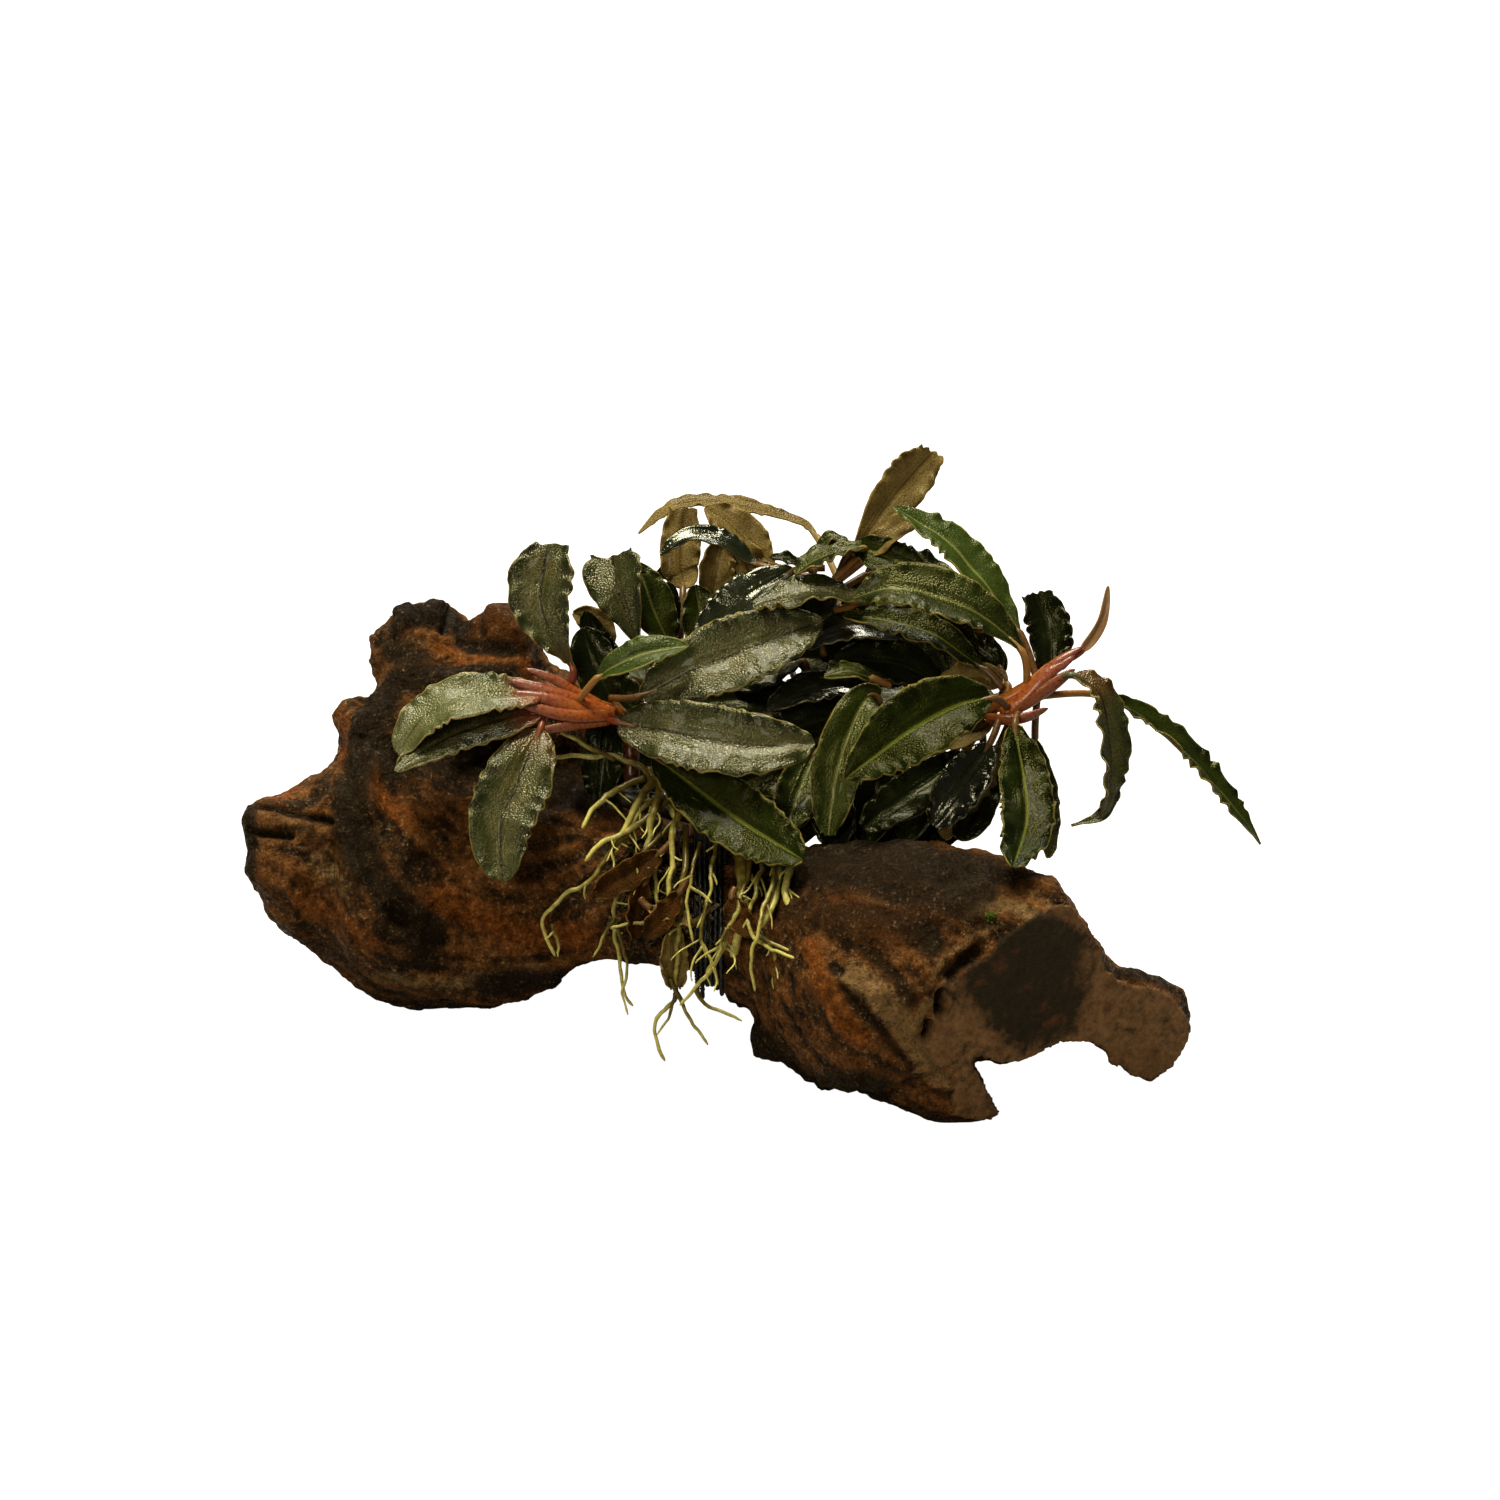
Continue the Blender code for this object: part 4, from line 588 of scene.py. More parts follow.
# Strokes on the wood that the viewer sees: how far they reach, how high they stand, their
# darkness, warmth and paleness, and their route across and up the picture
MARKS = [
    Mark(4.6, 1.8, 1.0, 0.0, 0.0, [(-66.0, 89.6), (-74.0, 85.6), (-75.6, 78.6), (-71.4, 71.6)]),
    Mark(2.6, 0.9, 0.9, 0.0, 0.0, [(-71.0, 89.0), (-62.0, 90.6), (-54.0, 91.0), (-48.0, 91.0)]),
    # painted shade: the crease between the snout and the dish, and its end, are drawn dark
    Mark(2.4, -2.0, 0.9, 0.0, 0.0, [(-81.0, 75.6), (-79.0, 65.6), (-75.0, 51.6), (-70.0, 41.6)]),
    Mark(1.6, -0.9, 0.8, 0.0, 0.0, [(-70.0, 41.6), (-66.0, 39.0), (-61.0, 37.0)]),
    Mark(2.4, 0.8, 0.0, 0.3, 0.3, [(-77.4, 75.0), (-75.6, 65.0), (-71.6, 53.0), (-66.4, 43.0)]),
    Mark(4.5, 0.3, 0.8, 0.0, 0.4, [(-72.0, 45.0), (-68.0, 40.0), (-65.0, 35.0)]),
    Mark(3.6, 0.0, 1.0, 0.0, 0.0, [(-101.0, 63.0), (-101.0, 54.0), (-99.4, 46.0)]),
    # painted shade: the lower edge of the left limb, where it turns under, is drawn dark
    Mark(3.0, 0.0, 0.8, 0.0, 0.0, [(-98.0, 43.0), (-91.0, 34.0), (-82.0, 26.0), (-72.0, 23.0)]),
    Mark(1.0, -1.6, 1.0, 0.0, 0.0, [(-98.6, 65.0), (-90.0, 62.8), (-84.0, 61.2)]),
    Mark(0.9, -1.3, 1.0, 0.0, 0.0, [(-100.6, 59.6), (-92.0, 58.6)]),
    Mark(2.0, 0.5, 0.0, 0.2, 0.4, [(-98.0, 62.2), (-90.0, 60.6), (-84.0, 58.6)]),
    Mark(4.0, -0.9, 0.0, 0.9, 0.0, [(-94.0, 67.0), (-87.0, 72.0), (-81.0, 78.0)]),
    Mark(3.6, 0.0, 0.6, 0.0, 0.2, [(-82.0, 70.0), (-81.0, 62.0), (-77.0, 52.0)]),
    Mark(3.4, 0.0, 0.0, 0.8, 0.0, [(-77.0, 72.0), (-73.0, 66.0), (-68.0, 62.0)]),
    Mark(4.0, 0.0, 0.0, 0.7, 0.0, [(-89.0, 45.0), (-82.0, 41.0), (-76.0, 36.0)]),
    Mark(4.6, 0.0, 0.0, 0.0, 0.5, [(-86.0, 54.0), (-82.0, 48.0)]),
    Mark(3.4, 0.0, 0.0, 0.1, 0.6, [(-74.0, 30.0), (-64.0, 28.6), (-52.0, 30.0), (-44.0, 31.6)]),
    # orange wood, made brighter as painted light where the dish faces up
    Mark(4.6, 0.0, 0.0, 0.8, 0.0, [(-62.0, 46.0), (-54.0, 42.0), (-46.0, 38.6), (-34.0, 38.0)]),
    # painted shade: the rim under the dish, where the wood turns under, is drawn dark
    Mark(4.0, 0.0, 0.9, 0.0, 0.0, [(-52.0, 28.6), (-42.0, 29.6), (-32.0, 31.0), (-22.0, 33.0)]),
    # painted shade: the hollow under the leaves, above the dish, is drawn dark
    Mark(9.0, -0.8, 0.8, 0.0, 0.0, [(-64.0, 77.0), (-54.0, 74.0), (-42.0, 71.0), (-32.0, 67.0)]),
    Mark(6.0, 0.0, 0.3, 0.2, 0.0, [(-52.0, 62.0), (-44.0, 56.0)]),
    Mark(4.0, 1.8, 0.9, 0.0, 0.0, [(-39.0, 30.0), (-33.0, 31.6)]),
    Mark(4.6, 0.5, 0.95, 0.0, 0.15, [(-75.6, 79.0), (-79.4, 68.8), (-80.0, 59.0), (-76.0, 51.0)]),
    Mark(3.6, 0.4, 0.9, 0.0, 0.15, [(-76.0, 51.0), (-70.0, 45.0), (-64.0, 40.0)]),
    Mark(4.0, 1.0, 1.0, 0.0, 0.0, [(-70.0, 102.0), (-64.0, 104.0), (-59.0, 102.0)]),
    Mark(1.8, -1.4, 0.8, 0.0, 0.0, [(-57.4, 104.0), (-57.6, 98.0)]),
    Mark(5.0, 2.8, 0.5, 0.8, 0.0, [(-58.0, 103.4), (-55.0, 103.0), (-49.0, 101.0)]),
    Mark(2.0, 0.0, 0.9, 0.0, 0.0, [(-56.0, 96.6), (-48.0, 95.6)]),
    Mark(4.0, 0.0, 0.7, 0.0, 0.5, [(-72.0, 96.0), (-67.0, 94.0)]),
    Mark(3.6, 0.0, 0.0, 0.7, 0.0, [(-62.0, 96.0), (-50.0, 93.6), (-44.0, 92.0)]),
    Mark(1.3, -1.6, 0.9, 0.0, 0.0, [(-72.6, 102.4), (-72.0, 98.6)]),
    Mark(2.4, 1.5, 0.9, 0.0, 0.0, [(-69.6, 103.4), (-69.0, 101.0)]),
    Mark(1.2, -1.5, 0.9, 0.0, 0.0, [(-66.4, 105.6), (-66.6, 101.4)]),
    Mark(2.4, 0.8, 0.9, 0.0, 0.0, [(-63.6, 104.6), (-63.0, 102.0)]),
    Mark(1.2, -1.4, 0.9, 0.0, 0.0, [(-60.0, 103.6), (-61.0, 99.6)]),
    Mark(1.4, -1.2, 0.6, 0.0, 0.0, [(-52.6, 104.6), (-53.4, 99.0)]),
    Mark(2.0, 1.0, 0.0, 0.7, 0.0, [(-50.0, 101.6), (-47.4, 99.6)]),
    Mark(3.6, 2.8, 0.0, 0.5, 0.2, [(-80.0, 91.0), (-81.0, 84.0), (-79.0, 78.0)]),
    Mark(4.6, 2.6, 1.0, 0.0, 0.0, [(2.0, 21.0), (8.0, 14.0), (15.0, 10.0), (25.0, 10.0)]),
    Mark(3.4, 2.2, 0.9, 0.0, 0.0, [(-8.0, 28.6), (-2.0, 24.0), (4.0, 18.0)]),
    Mark(3.8, 0.6, 1.0, 0.0, 0.0, [(-2.0, 25.0), (3.0, 18.0), (9.0, 12.0), (17.0, 8.0), (25.0, 6.6)]),
    Mark(3.4, 0.4, 0.0, 1.0, 0.0, [(12.0, 36.0), (15.0, 27.0), (21.0, 18.0)]),
    Mark(2.0, -0.5, 0.2, 0.0, 0.3, [(16.0, 36.0), (24.0, 27.0), (34.0, 16.0), (39.0, 11.0)]),
    Mark(4.6, 0.0, 0.0, 0.8, 0.0, [(17.0, 54.0), (27.0, 51.0), (36.0, 48.0)]),
    Mark(4.0, 0.0, 0.0, 0.7, 0.0, [(16.0, 46.0), (26.0, 40.0)]),
    # painted shade: the top of the right limb, which the leaves shade, is drawn dark, and its side less
    # so
    Mark(10.0, 0.0, 0.95, 0.3, 0.0, [(0.0, 58.0), (14.0, 58.0), (30.0, 56.0), (44.0, 52.0)]),
    Mark(9.0, 0.0, 1.0, 0.3, 0.0, [(4.0, 52.0), (18.0, 53.0), (32.0, 51.0), (41.0, 49.0)]),
    Mark(6.0, 0.0, 0.6, 0.6, 0.0, [(8.0, 44.0), (20.0, 43.0), (34.0, 41.0)]),
    Mark(2.6, 0.0, 0.9, 0.0, 0.3, [(44.0, 48.0), (47.6, 47.0)]),
    Mark(2.8, -0.4, 1.0, 0.0, 0.2, [(34.6, 40.0), (36.6, 37.0)]),
    Mark(1.3, -0.8, 1.0, 0.0, 0.0, [(16.4, 32.4), (17.6, 31.4)]),
    Mark(1.6, -1.8, 1.0, 0.0, 0.0, [(45.4, 35.4), (42.4, 32.8), (40.6, 30.4)]),
    Mark(1.7, -2.6, 1.0, 0.0, 0.0, [(38.4, 26.6), (38.2, 23.4)]),
    Mark(1.3, -1.8, 1.0, 0.0, 0.0, [(36.0, 20.6), (35.4, 18.4)]),
    Mark(1.3, 0.5, 0.0, 0.5, 0.6, [(48.6, 40.0), (42.4, 36.6), (38.0, 33.0), (35.8, 28.0)]),
    Mark(1.3, 1.1, 0.0, 0.4, 1.0, [(35.4, 25.0), (33.0, 20.6), (32.4, 17.4), (35.4, 12.8), (39.8, 8.6)]),
    Mark(3.4, 0.3, 0.0, 0.0, 1.0, [(20.0, 31.0), (26.0, 26.0), (32.0, 18.4), (37.6, 10.6)]),
    Mark(1.4, -0.6, 0.6, 0.0, 0.0, [(22.0, 36.0), (28.0, 31.0), (33.0, 25.0)]),
    Mark(1.2, -0.5, 0.6, 0.0, 0.0, [(18.0, 28.0), (24.0, 22.0), (31.0, 13.4)]),
    Mark(2.6, -0.9, 0.0, 0.4, 0.5, [(50.0, 50.0), (58.0, 46.4), (64.0, 40.0)]),
    Mark(2.0, 0.3, 0.0, 0.2, 0.9, [(44.0, 43.6), (50.0, 44.6), (56.0, 43.0), (61.0, 38.0)]),
    Mark(2.4, 0.0, 0.8, 0.0, 0.1, [(74.0, 31.4), (80.0, 30.6), (85.0, 28.6)]),
]
# The dark heart of the sawn face: a stroke across and up the picture, and its reach
HEART = [(48.0, 33.0), (53.0, 27.0), (59.0, 22.0), (60.0, 33.0), (55.0, 37.0)]
HEART_REACH = 7.4
# The lip of the sawn face: how far across it lies at each height in the picture
LIP_UP = [1.6, 9.2, 13.4, 17.6, 18.8, 23.2, 26.4, 29.6, 32.4, 35.0, 38.4, 42.6]
LIP_ACROSS = [40.8, 40.8, 36.4, 33.8, 34.2, 36.4, 36.4, 37.4, 39.0, 42.8, 48.2, 52.6]
# Cells along each side of the random lattice that is drawn out into grain
LATTICE = 64
BUMP_SHIFT = Vector((7, 3, 1))


def solid_of(node):
    """The solid of one node, in millimetres."""
    solid = bmesh.new()
    solid.from_mesh(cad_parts[node].data)
    bmesh.ops.transform(solid, matrix=Matrix.Scale(1 / MM, 4), verts=solid.verts)
    return solid


def remeshed(bm, voxel):
    """One closed skin round all that a bmesh holds, in squares of this size."""
    mesh = as_mesh("stage", bm)
    stage = in_scene("stage", mesh)
    modifier = stage.modifiers.new("stage", "REMESH")
    modifier.mode = "VOXEL"
    modifier.voxel_size = voxel
    bpy.context.view_layer.update()
    evaluated = stage.evaluated_get(bpy.context.evaluated_depsgraph_get())
    made = bmesh.new()
    made.from_mesh(evaluated.to_mesh())
    evaluated.to_mesh_clear()
    bpy.data.objects.remove(stage)
    bpy.data.meshes.remove(mesh)
    return made


def joined_wood():
    """One body from the solids of the branch, with the hairlines at its forks closed."""
    joined = bmesh.new()
    for node in WOOD_NODES:
        solid = solid_of(node)
        bmesh.ops.remove_doubles(solid, verts=solid.verts, dist=1e-3)
        for vert in solid.verts:
            for point, way in FORKS:
                distance = (vert.co - point).dot(way)
                if abs(distance) < FORK_REACH:
                    vert.co -= way * distance * 3
        bmesh.ops.recalc_face_normals(solid, faces=solid.faces)
        mesh = as_mesh("solid", solid)
        joined.from_mesh(mesh)
        bpy.data.meshes.remove(mesh)
    return remeshed(joined, WOOD_VOXEL)


def rounded_wood():
    """The joined branch, worn round everywhere but at its sawn face and its foot."""
    bm = joined_wood()
    soft = [
        vert for vert in bm.verts
        if (vert.co - CUT_POINT).dot(CUT_NORMAL) < -CUT_MARGIN and vert.co.z > FOOT_MARGIN
    ]
    for _ in range(WEAR_PASSES):
        bmesh.ops.smooth_vert(
            bm, verts=soft, factor=0.5, use_axis_x=True, use_axis_y=True, use_axis_z=True
        )
    bm.normal_update()
    bm.verts.ensure_lookup_table()
    return bm


def on_surface(surface, path, step):
    """Places on a surface under a stroke that is drawn in the usual view."""
    curve = smooth_curve([Vector((*point, 0.0)) for point in path])
    count = max(2, int(length_of(curve) / step))
    places = []
    for spot in evenly(curve, count):
        target = seen(spot.x, spot.y, VIEW_NEAR)
        hit = surface.ray_cast(VIEWPOINT, target - VIEWPOINT)[0]
        if hit:
            places.append(hit)
    return places


def touched(tree, places, reach):
    """How strongly a stroke touches the points near it, by their number, from 0 to 1."""
    result = {}
    for place in places:
        for _, index, distance in tree.find_range(place, 1.5 * reach):
            share = (1 - (distance / (1.5 * reach)) ** 2) ** 2
            result[index] = max(result.get(index, 0.0), share)
    return result


def grain_direction(spots, guides, ways):
    """The way of the grain at each spot, from the nearest guides."""
    apart = ((spots[:, None, :] - guides[None, :, :]) ** 2).sum(2)
    weight = 1.0 / (apart + 9.0) ** 2
    way = weight @ ways
    return way / np.linalg.norm(way, axis=1)[:, None]


def lattice_value(lattice, spots):
    """The value of a random lattice between its points."""
    shape = np.array(lattice.shape)
    base = np.floor(spots).astype(int)
    part = spots - base
    total = np.zeros(len(spots))
    for corner in np.ndindex(2, 2, 2):
        share = np.prod(np.where(corner, part, 1 - part), axis=1)
        index = (base + corner) % shape
        total += share * lattice[index[:, 0], index[:, 1], index[:, 2]]
    return total


def grain_guides(surface):
    """Places on the wood where the way of its grain is known, and those ways."""
    guides, ways = [], []
    for across, up, degrees in GRAIN:
        hit = on_surface(surface, [(across, up), (across + 0.1, up)], 1.0)
        angle = math.radians(degrees)
        if hit:
            guides.append(hit[0])
            ways.append(turned(math.cos(angle), math.sin(angle), 0.0))
    return np.array(guides), np.array(ways)


def streaks(spots, guides, ways, size, steps):
    """Random spots of a size drawn out along the grain, as values near -1 to 1."""
    lattice = np.random.default_rng(5).random((LATTICE, LATTICE, LATTICE))
    total = np.zeros(len(spots))
    for sign in (1, -1):
        walker = spots.copy()
        for _ in range(steps):
            total += lattice_value(lattice, walker / size)
            walker += sign * size * 0.9 * grain_direction(walker, guides, ways)
    total -= total.mean()
    return np.clip(total / (2.2 * total.std()), -1, 1)


def drawn_marks(bm, surface):
    """What the strokes leave on each point: masks of colour, relief, and crusts of bark."""
    tree = KDTree(len(bm.verts))
    for vert in bm.verts:
        tree.insert(vert.co, vert.index)
    tree.balance()
    masks = {name: np.zeros(len(bm.verts)) for name in ("dark", "warm", "pale", "heart")}
    relief, bark = np.zeros(len(bm.verts)), np.zeros(len(bm.verts))
    for mark in MARKS:
        places = on_surface(surface, mark.path, mark.reach * 0.4)
        for index, share in touched(tree, places, mark.reach).items():
            relief[index] += mark.depth * share
            for name in ("dark", "warm", "pale"):
                masks[name][index] = max(masks[name][index], getattr(mark, name) * share)
            # a raised black stroke is a crust of bark
            if mark.depth > 0.5 and mark.dark > 0.7:
                bark[index] = max(bark[index], share)
    for index, share in touched(tree, on_surface(surface, HEART, 3.0), HEART_REACH).items():
        masks["heart"][index] = share
    return masks, relief, bark


def sawn_face(spots, away, rag, dark):
    """1 on the sawn face, to the right of its ragged lip and clear of black marks and painted shade."""
    beyond = (spots - np.array(CUT_POINT)) @ np.array(CUT_NORMAL)
    facing = away @ np.array(CUT_NORMAL)
    axes = np.array([turned(1, 0, 0), turned(0, 1, 0), turned(0, 0, 1)])
    across, up, near = axes @ (spots + np.array(FOOT_TO_MIDDLE)).T
    scale = view_scale(near)
    lip = np.interp(VIEW_UP + (up - VIEW_UP) / scale, LIP_UP, LIP_ACROSS) + rag
    sawn = (beyond > -0.5) & (facing > 0.75) & (across / scale > lip)
    return sawn * (1 - np.clip(1.5 * dark - 0.3, 0, 1))


def make_driftwood():
    """The branch as one worn, grained body. Gives its surface, on which others lie."""
    bm = rounded_wood()
    surface = BVHTree.FromBMesh(bm)
    spots = np.array([vert.co for vert in bm.verts])
    away = np.array([vert.normal for vert in bm.verts])
    masks, relief, bark = drawn_marks(bm, surface)

    # rags 1.6 mm wide, knots 2.2 mm, bumps 3.6 mm and lumps 9 mm
    rag = np.array([noise.noise(vert.co / 1.6) for vert in bm.verts])
    knots = np.array([noise.voronoi(vert.co / 2.2)[0][0] for vert in bm.verts])
    bump = np.array([noise.fractal(vert.co / 3.6 + BUMP_SHIFT, 0.9, 2.0, 3) for vert in bm.verts])
    lump = np.array([noise.fractal(vert.co / 9.0, 0.8, 2.0, 4) for vert in bm.verts])

    masks["cut"] = sawn_face(spots, away, rag, masks["dark"])
    guides, ways = grain_guides(surface)
    broad = streaks(spots, guides, ways, 1.9, 9)
    narrow = streaks(spots, guides, ways, 1.0, 12)
    masks["grain"] = 0.5 + 0.28 * broad + 0.22 * narrow
    # the side away from the viewer is dark and rough, with rust where it is worn
    hidden = np.clip(-(away @ np.array(turned(0, 0, 1))) * 1.5, 0, 1)
    masks["dark"] = np.maximum(masks["dark"], hidden * np.clip(0.35 + lump, 0, 0.8))
    masks["warm"] = np.maximum(masks["warm"], hidden * np.clip(-lump - 0.1, 0, 0.8))
    # painted shade: undersides are dark too
    under = np.clip(-away[:, 2] * 1.4 - 0.3, 0, 1)
    masks["dark"] = np.maximum(masks["dark"], 0.7 * under)

    # no relief on the sawn face and at the foot, which stay flat
    whole = 1 - masks["cut"]
    raised = np.clip((spots[:, 2] - 0.4) / 1.5, 0, 1)
    relief += 0.3 * broad + 0.2 * narrow + 0.7 * lump + 0.5 * bump - 0.5
    relief += 1.5 * bark * (0.45 - knots)
    moved = spots + away * (relief * whole * raised)[:, None]
    layers = {name: bm.verts.layers.float.new(name) for name in masks}
    for vert, place in zip(bm.verts, moved):
        for name, layer in layers.items():
            vert[layer] = masks[name][vert.index]
        vert.co = place
        vert.co.z = max(vert.co.z, 0.0)
    bm.normal_update()
    surface = BVHTree.FromBMesh(bm)
    finished("driftwood", bm, [wet_driftwood()], WOOD_NODES)
    return surface


# Leaves

Leaf = namedtuple("Leaf", "name width face path")

